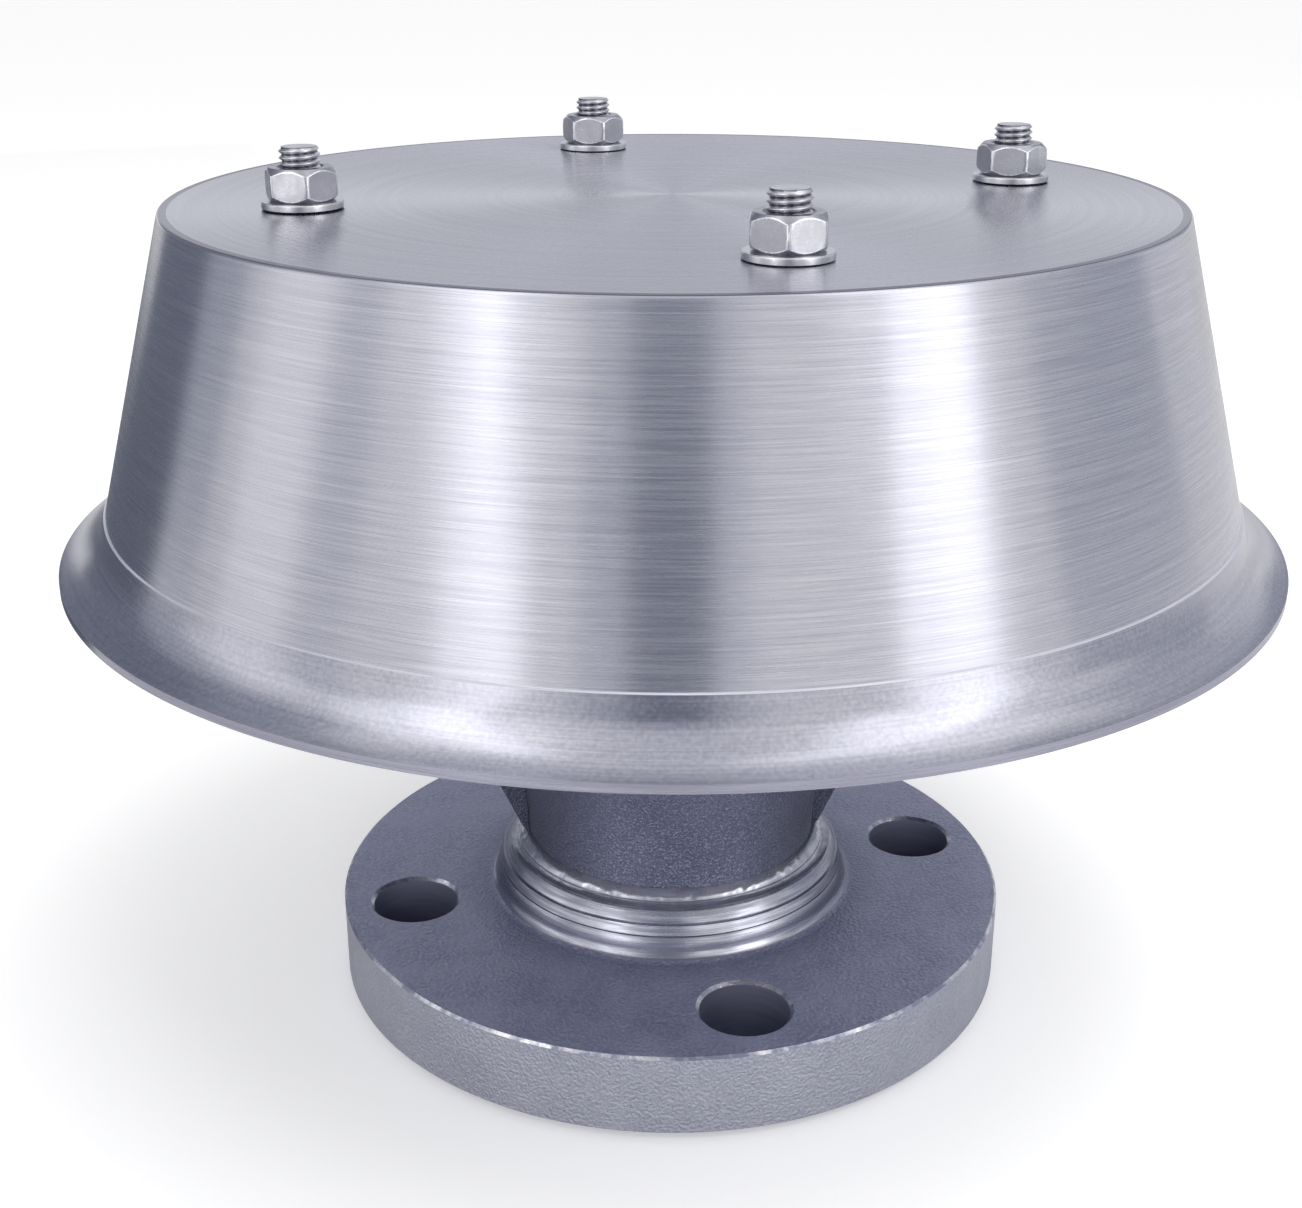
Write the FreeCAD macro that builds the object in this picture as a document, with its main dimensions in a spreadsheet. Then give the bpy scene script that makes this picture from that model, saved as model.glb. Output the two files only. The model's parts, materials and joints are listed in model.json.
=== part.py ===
import FreeCAD, Part
import math
import os
import Sketcher

# End-of-line flame arrester with a spun weather hood, in millimetres, +Z up.
# The origin is the centre of the flange's raised face. Flange holes and studs lie on X and Y.
# Gas comes up the neck, through the crimped ribbon discs, and leaves under the hood's rim.

SIZES = [
    ("flange_bolt_circle", 120.65, "flange bolt circle"),
    ("flange_hole", 19.05, "flange bolt hole"),
    ("flange_hole_count", 4, "flange bolt holes"),
    ("flange_land", 15.875, "bolt circle to the flange's rim"),
    ("flange_rim", 18.2, "height of the flange's side"),
    ("flange_edge", 0.6, "bevel on the flange's edges"),
    ("face_od", 92.1, "raised face diameter"),
    ("face_step", 1.6, "raised face height"),
    ("neck_od", 66.0, "outside diameter of the neck"),
    ("bore", 52.5, "gas bore"),
    ("neck_setback", 6.0, "neck end above the raised face"),
    ("hub_wall", 4.2, "hub wall at its top edge"),
    ("hub_cone_step", 2.3, "how far the hub's top slopes out to the turned band"),
    ("hub_cone_height", 2.5, "height of that slope"),
    ("hub_band_height", 2.4, "height of the turned band"),
    ("hub_groove", 0.5, "depth of the line above and below the band"),
    ("hub_foot_step", 2.2, "how far the foot stands out from the band"),
    ("hub_foot_height", 5.1, "height of the rounded foot above the flange"),
    ("hub_foot_fillet", 2.6, "fillet from the hub's foot to the flange"),
    ("weld_clearance", 0.05, "between a bead or plate and the neck"),
    ("weld_leg", 3.4, "height of the outer bead on the neck"),
    ("weld_round", 4.6, "radius of the outer bead's face"),
    ("seal_leg", 4.5, "leg of the inner bead"),
    ("flare_turn", 59.0, "degrees that the bell's curve turns"),
    ("flare_inset", 1.96, "bell's curve ends this far inside the cassette's radius"),
    ("shoulder_height", 2.95, "end of the curve to the ring's underside"),
    ("shoulder_width", 2.9, "end of the curve to the ring's underside, radial"),
    ("ring_thickness", 10.0, "bell's upper ring"),
    ("ring_land", 11.0, "stud circle to the edge of the rings"),
    ("ring_edge", 1.0, "bevel on the rings' corners"),
    ("seat_depth", 8.0, "recess for the cassette in the ring"),
    ("seat_clearance", 0.2, "cassette to recess, radial"),
    ("gusset_thickness", 4.0, "gusset plate"),
    ("gusset_count", 2, "gusset plates"),
    ("gusset_angle", -12.0, "turn of the gussets from the flange holes"),
    ("gusset_toe", 1.8, "width of a gusset at its foot"),
    ("gusset_slope", 24.7, "degrees from upright of a gusset's edge"),
    ("gusset_drop", 11.0, "gusset's upper end below the ring"),
    ("stud_count", 4, "hood studs"),
    ("stud_inset", 9.0, "cassette's side to the stud circle"),
    ("stud_od", 8.0, "M8 stud"),
    ("stud_point", 1.0, "bevel on the ends of studs and bolt"),
    ("stud_clearance", 0.5, "stud in its drilled holes, radial"),
    ("stud_tail", 1.5, "stud below its lower nut"),
    ("stud_tip", 3.8, "stud above its hood nut"),
    ("nut_flats", 13.0, "M8 nut across flats"),
    ("nut_height", 6.5, "M8 nut"),
    ("nut_bevel", 30.0, "degrees of the nut's corner bevel"),
    ("nut_bevel_reach", 0.35, "bevel inside the flats"),
    ("thread_clearance", 0.06, "between thread and bore, radial"),
    ("washer_od", 16.0, "M8 washer"),
    ("washer_clearance", 0.2, "washer on its stud, radial"),
    ("washer_thickness", 1.6, "M8 washer"),
    ("gasket_thickness", 1.5, "both gaskets"),
    ("gasket_width", 5.5, "both gaskets, radial"),
    ("cassette_od", 132.0, "cassette ring"),
    ("cassette_wall", 5.4, "cassette ring wall"),
    ("cassette_lip", 2.0, "height of the inner lip"),
    ("cassette_lip_width", 3.0, "width of the inner lip"),
    ("cassette_edge", 0.6, "bevel on the cassette ring's corners"),
    ("cassette_head", 2.0, "cassette ring above the upper grid"),
    ("inner_clearance", 0.2, "discs and grids to the cassette wall"),
    ("grid_thickness", 3.0, "support grid"),
    ("grid_rim", 5.0, "width of the grid's rim"),
    ("grid_hub_od", 26.0, "grid hub"),
    ("grid_band_od", 76.0, "grid middle band"),
    ("grid_band_width", 2.5, "width of the middle band"),
    ("grid_spoke", 3.0, "width of a spoke"),
    ("grid_spoke_count", 6, "spokes"),
    ("disc_height", 10.0, "ribbon disc"),
    ("disc_gap", 4.0, "between the two discs"),
    ("spacer_width", 3.5, "disc spacer, radial"),
    ("core_od", 23.0, "ribbon core"),
    ("core_clearance", 0.3, "centre bolt in core and grids, radial"),
    ("ribbon_foil", 0.4, "ribbon, measured radially"),
    ("ribbon_turns", 5, "turns of the flat ribbon"),
    ("crimp_pitch", 10.5, "crimp length along the ribbon"),
    ("bolt_head_height", 5.3, "centre bolt head"),
    ("bolt_tip", 2.4, "centre bolt above its nut"),
    ("clamp_thickness", 8.0, "clamp ring"),
    ("clamp_lap", 2.6, "clamp ring over the cassette's bore, radial"),
    ("clamp_edge", 2.5, "bevel at the clamp ring's mouth"),
    ("sleeve_length", 37.5, "spacer sleeve"),
    ("sleeve_wall", 2.7, "spacer sleeve wall"),
    ("sleeve_clearance", 0.3, "sleeve on its stud, radial"),
    ("hood_sheet", 1.6, "hood sheet"),
    ("hood_top_od", 202.6, "flat top of the hood"),
    ("hood_edge_width", 1.9, "rounded edge of the top, radial"),
    ("hood_edge_drop", 1.1, "rounded edge of the top, height"),
    ("hood_edge_round", 2.2, "radius of that edge"),
    ("skirt_height", 60.4, "hood top to the end of the skirt"),
    ("skirt_spread", 15.7, "how far the skirt slopes out below that edge, radial"),
    ("bead_height", 1.3, "bead line above the rim's flare"),
    ("bead_round", 0.9, "radius of the bead"),
    ("rim_flare", 9.8, "how far the rim flares out from the skirt, radial"),
    ("rim_round", 14.15, "radius of the rim's flare"),
    ("rim_start", 16.6, "degrees from upright where the flare starts"),
    ("nut_turn_1", 31.0, "degrees that the first hood nut happens to be turned"),
    ("nut_turn_2", 38.0, "the same for the second"),
    ("nut_turn_3", 35.0, "the same for the third"),
    ("nut_turn_4", 11.0, "the same for the fourth"),
]

RIBBON_STEP = 12.0  # degrees between two points of the flat ribbon
TOUCH = 0.02  # gap between the two ribbons where they rest on each other

document = FreeCAD.newDocument("FlameArrester")
sheet = document.addObject("Spreadsheet::Sheet", "Sizes")
for row, (alias, value, meaning) in enumerate(SIZES, start=1):
    sheet.set(f"A{row}", meaning)
    sheet.set(f"B{row}", str(value))
    sheet.setAlias(f"B{row}", alias)
document.recompute()


def size(expression):
    """Value of an expression in the sheet's aliases."""
    return float(sheet.evalExpression(expression))


def bind(item, prop, expression):
    """Tie a property or a named constraint to the sheet."""
    item.setExpression(prop, expression)


def half(alias):
    return f"Sizes.{alias} / 2"


# Radii that several pieces share, as expressions in the sheet
NECK = half("neck_od")
CASSETTE = half("cassette_od")
CASSETTE_BORE = f"({CASSETTE} - Sizes.cassette_wall)"
INSIDE = f"({CASSETTE_BORE} - Sizes.inner_clearance)"
STUD_LINE = f"({CASSETTE} + Sizes.stud_inset)"
RING = f"({STUD_LINE} + Sizes.ring_land)"
HUB_TOP_RADIUS = f"({NECK} + Sizes.hub_wall)"
THREAD_BORE = f"({half('stud_od')} + Sizes.thread_clearance)"
STUD_HOLE = "(Sizes.stud_od + 2 * Sizes.stud_clearance)"
WASHER_HOLE = "(Sizes.stud_od + 2 * Sizes.washer_clearance)"
CORE_HOLE = "(Sizes.stud_od + 2 * Sizes.core_clearance)"
SLEEVE_HOLE = "(Sizes.stud_od + 2 * Sizes.sleeve_clearance)"

# The bell's outside curve starts upright at the neck and ends just inside the cassette's side
FLARE_END = f"({CASSETTE} - Sizes.flare_inset)"
FLARE_RADIUS = f"(({FLARE_END} - {NECK}) / (1 - cos(Sizes.flare_turn)))"
FLARE_CENTRE = f"({NECK} + {FLARE_RADIUS})"

# Heights of the stack, from the flange's raised face up
FLANGE_TOP = "(Sizes.face_step + Sizes.flange_rim)"
BAND_FOOT = f"({FLANGE_TOP} + Sizes.hub_foot_height)"
BAND_TOP = f"({BAND_FOOT} + Sizes.hub_band_height)"
HUB_TOP = f"({BAND_TOP} + Sizes.hub_cone_height)"
FLARE_START = f"({HUB_TOP} + Sizes.weld_leg)"
FLARE_TOP = f"({FLARE_START} + {FLARE_RADIUS} * sin(Sizes.flare_turn))"
RING_FOOT = f"({FLARE_TOP} + Sizes.shoulder_height)"
RING_TOP = f"({RING_FOOT} + Sizes.ring_thickness)"
SEAT = f"({RING_TOP} - Sizes.seat_depth)"
CASSETTE_FOOT = f"({SEAT} + Sizes.gasket_thickness)"
LOWER_GRID = f"({CASSETTE_FOOT} + Sizes.cassette_lip)"
LOWER_DISC = f"({LOWER_GRID} + Sizes.grid_thickness)"
SPACER_FOOT = f"({LOWER_DISC} + Sizes.disc_height)"
UPPER_DISC = f"({SPACER_FOOT} + Sizes.disc_gap)"
UPPER_GRID = f"({UPPER_DISC} + Sizes.disc_height)"
GRID_TOP = f"({UPPER_GRID} + Sizes.grid_thickness)"
CASSETTE_TOP = f"({GRID_TOP} + Sizes.cassette_head)"
CLAMP_FOOT = f"({CASSETTE_TOP} + Sizes.gasket_thickness)"
CLAMP_TOP = f"({CLAMP_FOOT} + Sizes.clamp_thickness)"
HOOD_UNDER = f"({CLAMP_TOP} + Sizes.sleeve_length)"
HOOD_TOP = f"({HOOD_UNDER} + Sizes.hood_sheet)"
HOOD_NUT = f"({HOOD_TOP} + Sizes.washer_thickness)"
STUD_TOP = f"({HOOD_NUT} + Sizes.nut_height + Sizes.stud_tip)"
LOWER_WASHER = f"({RING_FOOT} - Sizes.washer_thickness)"
LOWER_NUT = f"({LOWER_WASHER} - Sizes.nut_height)"
STUD_FOOT = f"({LOWER_NUT} - Sizes.stud_tail)"


def bell_radius(height, grow="0"):
    """Radius of the bell's outside curve at a height, with the curve's own radius less grow."""
    return f"({FLARE_CENTRE} - sqrt(({FLARE_RADIUS} - {grow})^2 - ({height} - {FLARE_START})^2))"


def new_body(label):
    body = document.addObject("PartDesign::Body", label)
    body.Label = label
    body.AllowCompound = True
    return body


def origin_item(body, role):
    return next(item for item in body.Origin.OriginFeatures if item.Role == role)


def new_sketch(body, role, name):
    sketch = body.newObject("Sketcher::SketchObject", f"{body.Label}_{name}")
    sketch.AttachmentSupport = (origin_item(body, role), [""])
    sketch.MapMode = "FlatFace"
    return sketch


def pin_point(sketch, edge, end, across, up):
    """Hold a point at two distances from the sketch's origin."""
    for kind, axis, expression in (("DistanceX", -2, across), ("DistanceY", -1, up)):
        value = size(expression)
        if abs(value) < 1e-9:
            sketch.addConstraint(Sketcher.Constraint("PointOnObject", edge, end, axis))
            continue
        number = sketch.addConstraint(Sketcher.Constraint(kind, -1, 1, edge, end, value))
        bind(sketch, f"Constraints[{number}]", expression)


def arc_between(start, end, radius, side):
    """Arc from start to end whose centre lies to the left (1) or right (-1) of the way."""
    chord = end - start
    middle = (start + end) * 0.5
    normal = FreeCAD.Vector(-chord.y, chord.x, 0).normalize()
    rise = math.sqrt(max(radius ** 2 - (chord.Length / 2) ** 2, 0))
    centre = middle + normal * (side * rise)
    first, last = (start, end) if side > 0 else (end, start)
    angles = [math.atan2(point.y - centre.y, point.x - centre.x) for point in (first, last)]
    return Part.ArcOfCircle(Part.Circle(centre, FreeCAD.Vector(0, 0, 1), radius), *angles)


def outline(sketch, corners):
    """Closed outline. A corner is (across, up), or (across, up, radius, side) after an arc."""
    points = [FreeCAD.Vector(size(corner[0]), size(corner[1]), 0) for corner in corners]
    ends = []
    for index, corner in enumerate(corners):
        start, end = points[index - 1], points[index]
        if len(corner) == 2:
            edge = sketch.addGeometry(Part.LineSegment(start, end))
            ends.append((edge, 1, 2))
            continue
        radius, side = corner[2:]
        edge = sketch.addGeometry(arc_between(start, end, size(radius), side))
        ends.append((edge, 1, 2) if side > 0 else (edge, 2, 1))
        number = sketch.addConstraint(Sketcher.Constraint("Radius", edge, size(radius)))
        bind(sketch, f"Constraints[{number}]", radius)
    for index, (edge, start, end) in enumerate(ends):
        before, _, before_end = ends[index - 1]
        sketch.addConstraint(Sketcher.Constraint("Coincident", before, before_end, edge, start))
        pin_point(sketch, edge, end, *corners[index][:2])


def circles(sketch, centre, diameters):
    """Concentric circles whose centre lies on the sketch's horizontal axis."""
    middle = FreeCAD.Vector(size(centre), 0, 0)
    for diameter in diameters:
        radius = size(diameter) / 2
        edge = sketch.addGeometry(Part.Circle(middle, FreeCAD.Vector(0, 0, 1), radius))
        pin_point(sketch, edge, 3, centre, "0")
        number = sketch.addConstraint(Sketcher.Constraint("Diameter", edge, 2 * radius))
        bind(sketch, f"Constraints[{number}]", diameter)


def turned(body, corners, name="profile"):
    """Revolve an outline of radius and height about the upright axis."""
    sketch = new_sketch(body, "XZ_Plane", name)
    outline(sketch, corners)
    turn = body.newObject("PartDesign::Revolution", f"{body.Label}_turn")
    turn.Profile = sketch
    turn.ReferenceAxis = (sketch, ["V_Axis"])
    turn.Angle = 360
    body.Tip = turn
    return turn


def padded(body, sketch, height, start="0"):
    """Pad a flat sketch upwards by a height, from a starting height."""
    bind(sketch, "AttachmentOffset.Base.z", start)
    pad = body.newObject("PartDesign::Pad", f"{sketch.Name}_pad")
    pad.Profile = sketch
    bind(pad, "Length", height)
    body.Tip = pad
    return pad


def ring_pattern(body, feature, count):
    pattern = body.newObject("PartDesign::PolarPattern", f"{feature.Name}_ring")
    pattern.Originals = [feature]
    pattern.Axis = (origin_item(body, "Z_Axis"), [""])
    pattern.Angle = 360
    bind(pattern, "Occurrences", count)
    body.Tip = pattern
    return pattern


def drilled(body, radius, diameter, count):
    """Through holes in a ring about the axis, at a radius."""
    document.recompute()
    volume = body.Shape.Volume
    sketch = new_sketch(body, "XY_Plane", "holes")
    circles(sketch, radius, [diameter])
    hole = body.newObject("PartDesign::Pocket", f"{body.Label}_hole")
    hole.Profile = sketch
    hole.Type = "ThroughAll"
    hole.Midplane = True
    ring_pattern(body, hole, count)
    document.recompute()
    if body.Shape.Volume >= volume:
        raise RuntimeError(f"{body.Label}: the holes cut nothing")


def flat_ring(label, outer, inner, height, start, centre="0", count=None):
    """A washer-shaped piece, or a ring of them when count is given."""
    body = new_body(label)
    sketch = new_sketch(body, "XY_Plane", "ring")
    circles(sketch, centre, [outer, inner])
    pad = padded(body, sketch, height, start)
    if count:
        ring_pattern(body, pad, count)
    return body


def hexagon(sketch, flats, centre):
    """Regular hexagon with two flats parallel to the sketch's horizontal axis."""
    corners = []
    for number in range(6):
        angle = 60 * number
        across = f"{centre} + {flats} / sqrt(3) * cos({angle})"
        corners.append((across, f"{flats} / sqrt(3) * sin({angle})"))
    outline(sketch, corners)


def bevel_corners(body, face, downwards, centre):
    """Turn the bevel on a hexagon's corners at one end, about an upright axis in its centre."""
    inner = "(Sizes.nut_flats / 2 - Sizes.nut_bevel_reach)"
    outer = "Sizes.nut_flats"
    drop = f"({downwards} * ({outer} - {inner}) * tan(Sizes.nut_bevel))"
    sketch = new_sketch(body, "XZ_Plane", "bevel")
    outline(sketch, [
        (f"{centre} + {inner}", face),
        (f"{centre} + {outer}", face),
        (f"{centre} + {outer}", f"{face} - {drop}"),
    ])
    foot = FreeCAD.Vector(size(centre), 0, 0)
    axis = sketch.addGeometry(Part.LineSegment(foot, foot + FreeCAD.Vector(0, 1, 0)), True)
    pin_point(sketch, axis, 1, centre, "0")
    pin_point(sketch, axis, 2, centre, "1")
    groove = body.newObject("PartDesign::Groove", f"{sketch.Name}_groove")
    groove.Profile = sketch
    groove.ReferenceAxis = (sketch, ["Axis0"])
    groove.Angle = 360
    body.Tip = groove
    return groove


def pipe_flange():
    """Slip-on flange: raised face, four bolt holes, and a turned hub with a rounded foot."""
    body = new_body("pipe_flange")
    bore = f"{NECK} + Sizes.weld_clearance"
    rim = "(Sizes.flange_bolt_circle / 2 + Sizes.flange_land)"
    band = f"({HUB_TOP_RADIUS} + Sizes.hub_cone_step)"
    foot = f"({band} + Sizes.hub_foot_step)"
    groove = "Sizes.hub_groove"
    fillet = "Sizes.hub_foot_fillet"
    turned(body, [
        (bore, "0"),
        (half("face_od"), "0"),
        (half("face_od"), "Sizes.face_step"),
        (f"{rim} - Sizes.flange_edge", "Sizes.face_step"),
        (rim, "Sizes.face_step + Sizes.flange_edge"),
        (rim, f"{FLANGE_TOP} - Sizes.flange_edge"),
        (f"{rim} - Sizes.flange_edge", FLANGE_TOP),
        (f"{foot} + {fillet}", FLANGE_TOP),
        (foot, f"{FLANGE_TOP} + {fillet}", fillet, -1),
        (f"{band} + {groove}", BAND_FOOT),
        (f"{band} - {groove}", BAND_FOOT),
        (band, f"{BAND_FOOT} + {groove}"),
        (f"{band} - {groove} / 2", BAND_TOP),
        (f"{band} - {groove}", f"{BAND_TOP} + {groove} / 2"),
        (HUB_TOP_RADIUS, HUB_TOP),
        (bore, HUB_TOP),
    ])
    drilled(body, half("flange_bolt_circle"), "Sizes.flange_hole", "Sizes.flange_hole_count")


def welds():
    """Outer bead between hub and neck, and inner bead at the neck's end in the flange bore."""
    wall = f"{NECK} + Sizes.weld_clearance"
    outer = new_body("flange_weld")
    turned(outer, [
        (wall, HUB_TOP),
        (HUB_TOP_RADIUS, HUB_TOP),
        (wall, f"{HUB_TOP} + Sizes.weld_leg", "Sizes.weld_round", 1),
    ])
    inner = new_body("seal_weld")
    turned(inner, [
        (NECK, "Sizes.neck_setback"),
        (f"{NECK} - Sizes.seal_leg", "Sizes.neck_setback"),
        (NECK, "Sizes.neck_setback - Sizes.seal_leg"),
    ])


def inlet_bell():
    """Neck, trumpet-shaped bell and upper ring in one casting, drilled for the studs."""
    body = new_body("inlet_bell")
    bore = half("bore")
    inner_curve = f"({FLARE_RADIUS} + {NECK} - {bore})"
    mouth = f"{FLARE_CENTRE} - sqrt({inner_curve}^2 - ({SEAT} - {FLARE_START})^2)"
    recess = f"{CASSETTE} + Sizes.seat_clearance"
    edge = "Sizes.ring_edge"
    turned(body, [
        (bore, "Sizes.neck_setback"),
        (NECK, "Sizes.neck_setback"),
        (NECK, FLARE_START),
        (FLARE_END, FLARE_TOP, FLARE_RADIUS, -1),
        (f"{FLARE_END} + Sizes.shoulder_width", RING_FOOT),
        (f"{RING} - {edge}", RING_FOOT),
        (RING, f"{RING_FOOT} + {edge}"),
        (RING, f"{RING_TOP} - {edge}"),
        (f"{RING} - {edge}", RING_TOP),
        (recess, RING_TOP),
        (recess, SEAT),
        (mouth, SEAT),
        (bore, FLARE_START, inner_curve, 1),
    ])
    drilled(body, STUD_LINE, STUD_HOLE, "Sizes.stud_count")


def gusset_plates():
    """Upright plates that follow the bell's curve and stop short of its ring."""
    body = new_body("gusset_plates")
    grow = "Sizes.weld_clearance"
    foot = f"({FLARE_START} + {grow})"
    top = f"({RING_FOOT} - Sizes.gusset_drop)"
    foot_inner = bell_radius(foot, grow)
    foot_outer = f"({foot_inner} + Sizes.gusset_toe)"
    sketch = new_sketch(body, "XZ_Plane", "profile")
    outline(sketch, [
        (foot_inner, foot, f"{FLARE_RADIUS} - {grow}", 1),
        (foot_outer, foot),
        (f"{foot_outer} + ({top} - {foot}) * tan(Sizes.gusset_slope)", top),
        (bell_radius(top, grow), top),
    ])
    pad = body.newObject("PartDesign::Pad", "gusset_pad")
    pad.Profile = sketch
    pad.Midplane = True
    bind(pad, "Length", "Sizes.gusset_thickness")
    ring_pattern(body, pad, "Sizes.gusset_count")
    bind(body, "Placement.Rotation.Angle", "Sizes.gusset_angle")


def rod_outline(centre, foot, top):
    """Half of an M8 rod with bevelled ends; its first edge is the rod's own axis."""
    side = f"{centre} + {half('stud_od')}"
    bevel = "Sizes.stud_point"
    return [
        (centre, foot),
        (f"{side} - {bevel}", foot),
        (side, f"{foot} + {bevel}"),
        (side, f"{top} - {bevel}"),
        (f"{side} - {bevel}", top),
        (centre, top),
    ]


def hood_studs():
    body = new_body("hood_studs")
    sketch = new_sketch(body, "XZ_Plane", "profile")
    outline(sketch, rod_outline(STUD_LINE, STUD_FOOT, STUD_TOP))
    turn = body.newObject("PartDesign::Revolution", "stud_turn")
    turn.Profile = sketch
    turn.ReferenceAxis = (sketch, ["Edge1"])
    turn.Angle = 360
    ring_pattern(body, turn, "Sizes.stud_count")


def hexagon_nut(label, start="0", centre="0", count=None):
    """A plain M8 nut with its upper end bevelled, or a ring of them when count is given."""
    body = new_body(label)
    flats = new_sketch(body, "XY_Plane", "flats")
    hexagon(flats, "Sizes.nut_flats", centre)
    pad = padded(body, flats, "Sizes.nut_height", start)
    bore = new_sketch(body, "XY_Plane", "bore")
    circles(bore, centre, [f"2 * {THREAD_BORE}"])
    hole = body.newObject("PartDesign::Pocket", f"{label}_bore_cut")
    hole.Profile = bore
    hole.Type = "ThroughAll"
    hole.Midplane = True
    body.Tip = hole
    groove = bevel_corners(body, f"({start} + Sizes.nut_height)", 1, centre)
    if count:
        pattern = ring_pattern(body, pad, count)
        pattern.Originals = [pad, hole, groove]
    return body


def lower_fasteners():
    flat_ring("stud_lower_washers", "Sizes.washer_od", WASHER_HOLE,
              "Sizes.washer_thickness", LOWER_WASHER, STUD_LINE, "Sizes.stud_count")
    hexagon_nut("stud_lower_nuts", LOWER_NUT, STUD_LINE, "Sizes.stud_count")


def gaskets():
    inner = "Sizes.cassette_od - 2 * Sizes.gasket_width"
    for label, foot in (("lower_gasket", SEAT), ("upper_gasket", CASSETTE_TOP)):
        flat_ring(label, "Sizes.cassette_od", inner, "Sizes.gasket_thickness", foot)


def cassette_ring():
    """Wall of the flame element, with an inner lip that carries the lower grid."""
    body = new_body("cassette_ring")
    edge = "Sizes.cassette_edge"
    lip = f"{CASSETTE_BORE} - Sizes.cassette_lip_width"
    turned(body, [
        (lip, CASSETTE_FOOT),
        (f"{CASSETTE} - {edge}", CASSETTE_FOOT),
        (CASSETTE, f"{CASSETTE_FOOT} + {edge}"),
        (CASSETTE, f"{CASSETTE_TOP} - {edge}"),
        (f"{CASSETTE} - {edge}", CASSETTE_TOP),
        (CASSETTE_BORE, CASSETTE_TOP),
        (CASSETTE_BORE, LOWER_GRID),
        (lip, LOWER_GRID),
    ])


def support_grid(label, foot):
    """Rim, middle band and hub joined by spokes."""
    body = new_body(label)
    rings = new_sketch(body, "XY_Plane", "rings")
    band = "Sizes.grid_band_od"
    circles(rings, "0", [
        f"2 * {INSIDE}", f"2 * ({INSIDE} - Sizes.grid_rim)",
        band, f"{band} - 2 * Sizes.grid_band_width",
        "Sizes.grid_hub_od", CORE_HOLE,
    ])
    padded(body, rings, "Sizes.grid_thickness", foot)
    spoke = new_sketch(body, "XY_Plane", "spoke")
    root = "(Sizes.grid_hub_od / 2 - Sizes.grid_spoke / 2)"
    end = f"({INSIDE} - Sizes.grid_rim / 2)"
    side = half("grid_spoke")
    outline(spoke, [(root, f"-{side}"), (end, f"-{side}"), (end, side), (root, side)])
    arm = padded(body, spoke, "Sizes.grid_thickness", foot)
    ring_pattern(body, arm, "Sizes.grid_spoke_count")


def strip(path, thickness, height):
    """Solid foil that follows a path of (angle, radius) points and stands upright."""
    outer = [(angle, radius + thickness / 2) for angle, radius in path]
    inner = [(angle, radius - thickness / 2) for angle, radius in reversed(path)]
    loop = outer + inner
    points = [FreeCAD.Vector(radius * math.cos(angle), radius * math.sin(angle), 0)
              for angle, radius in loop + loop[:1]]
    return Part.Face(Part.makePolygon(points)).extrude(FreeCAD.Vector(0, 0, height))


def ribbon_disc(label, foot):
    """Flat foil and crimped foil wound together in a spiral, so that each crimp is a gas path."""
    core = size(half("core_od"))
    foil = size("Sizes.ribbon_foil")
    turns = round(size("Sizes.ribbon_turns"))
    pitch = size("Sizes.crimp_pitch")
    height = size("Sizes.disc_height")
    step = math.radians(RIBBON_STEP)
    advance = (size(INSIDE) - core - foil - 2 * TOUCH) / turns
    full_turn = 2 * math.pi

    def flat_radius(angle):
        return core + TOUCH + foil / 2 + advance * angle / full_turn

    steps = round(full_turn * turns / step)
    flat = [(number * step, flat_radius(number * step)) for number in range(steps + 1)]
    crimp = []
    angle = 0.0
    outwards = False
    while angle < full_turn * (turns - 1):
        low = flat_radius(angle) + foil + TOUCH
        high = (flat_radius(angle) + advance - foil / 2) * math.cos(step / 2) - foil / 2 - TOUCH
        crimp.append((angle, high if outwards else low))
        angle += pitch / 2 / ((low + high) / 2)
        outwards = not outwards
    disc = document.addObject("Part::Feature", label)
    disc.Label = label
    disc.Shape = Part.makeCompound([strip(flat, foil, height), strip(crimp, foil, height)])
    disc.Placement = FreeCAD.Placement(FreeCAD.Vector(0, 0, size(foot)), FreeCAD.Rotation())


def cassette_inside():
    support_grid("lower_grid", LOWER_GRID)
    ribbon_disc("lower_ribbon_disc", LOWER_DISC)
    flat_ring("disc_spacer", f"2 * {INSIDE}", f"2 * ({INSIDE} - Sizes.spacer_width)",
              "Sizes.disc_gap", SPACER_FOOT)
    ribbon_disc("upper_ribbon_disc", UPPER_DISC)
    support_grid("upper_grid", UPPER_GRID)
    flat_ring("ribbon_core", "Sizes.core_od", CORE_HOLE,
              f"{UPPER_GRID} - {LOWER_DISC}", LOWER_DISC)


def centre_bolt():
    """Hexagon bolt through grids and core, with its washers and nut."""
    under = f"({LOWER_GRID} - Sizes.washer_thickness)"
    foot = f"({under} - Sizes.bolt_head_height)"
    nut = f"({GRID_TOP} + Sizes.washer_thickness)"
    body = new_body("centre_bolt")
    flats = new_sketch(body, "XY_Plane", "flats")
    hexagon(flats, "Sizes.nut_flats", "0")
    padded(body, flats, "Sizes.bolt_head_height", foot)
    top = f"({nut} + Sizes.nut_height + Sizes.bolt_tip)"
    turned(body, rod_outline("0", f"({under} - Sizes.stud_point)", top), "shank")
    bevel_corners(body, foot, -1, "0")
    washers = new_body("centre_washers")
    for name, start in (("under", under), ("over", GRID_TOP)):
        sketch = new_sketch(washers, "XY_Plane", name)
        circles(sketch, "0", ["Sizes.washer_od", WASHER_HOLE])
        padded(washers, sketch, "Sizes.washer_thickness", start)
    hexagon_nut("centre_nut", nut)


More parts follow.
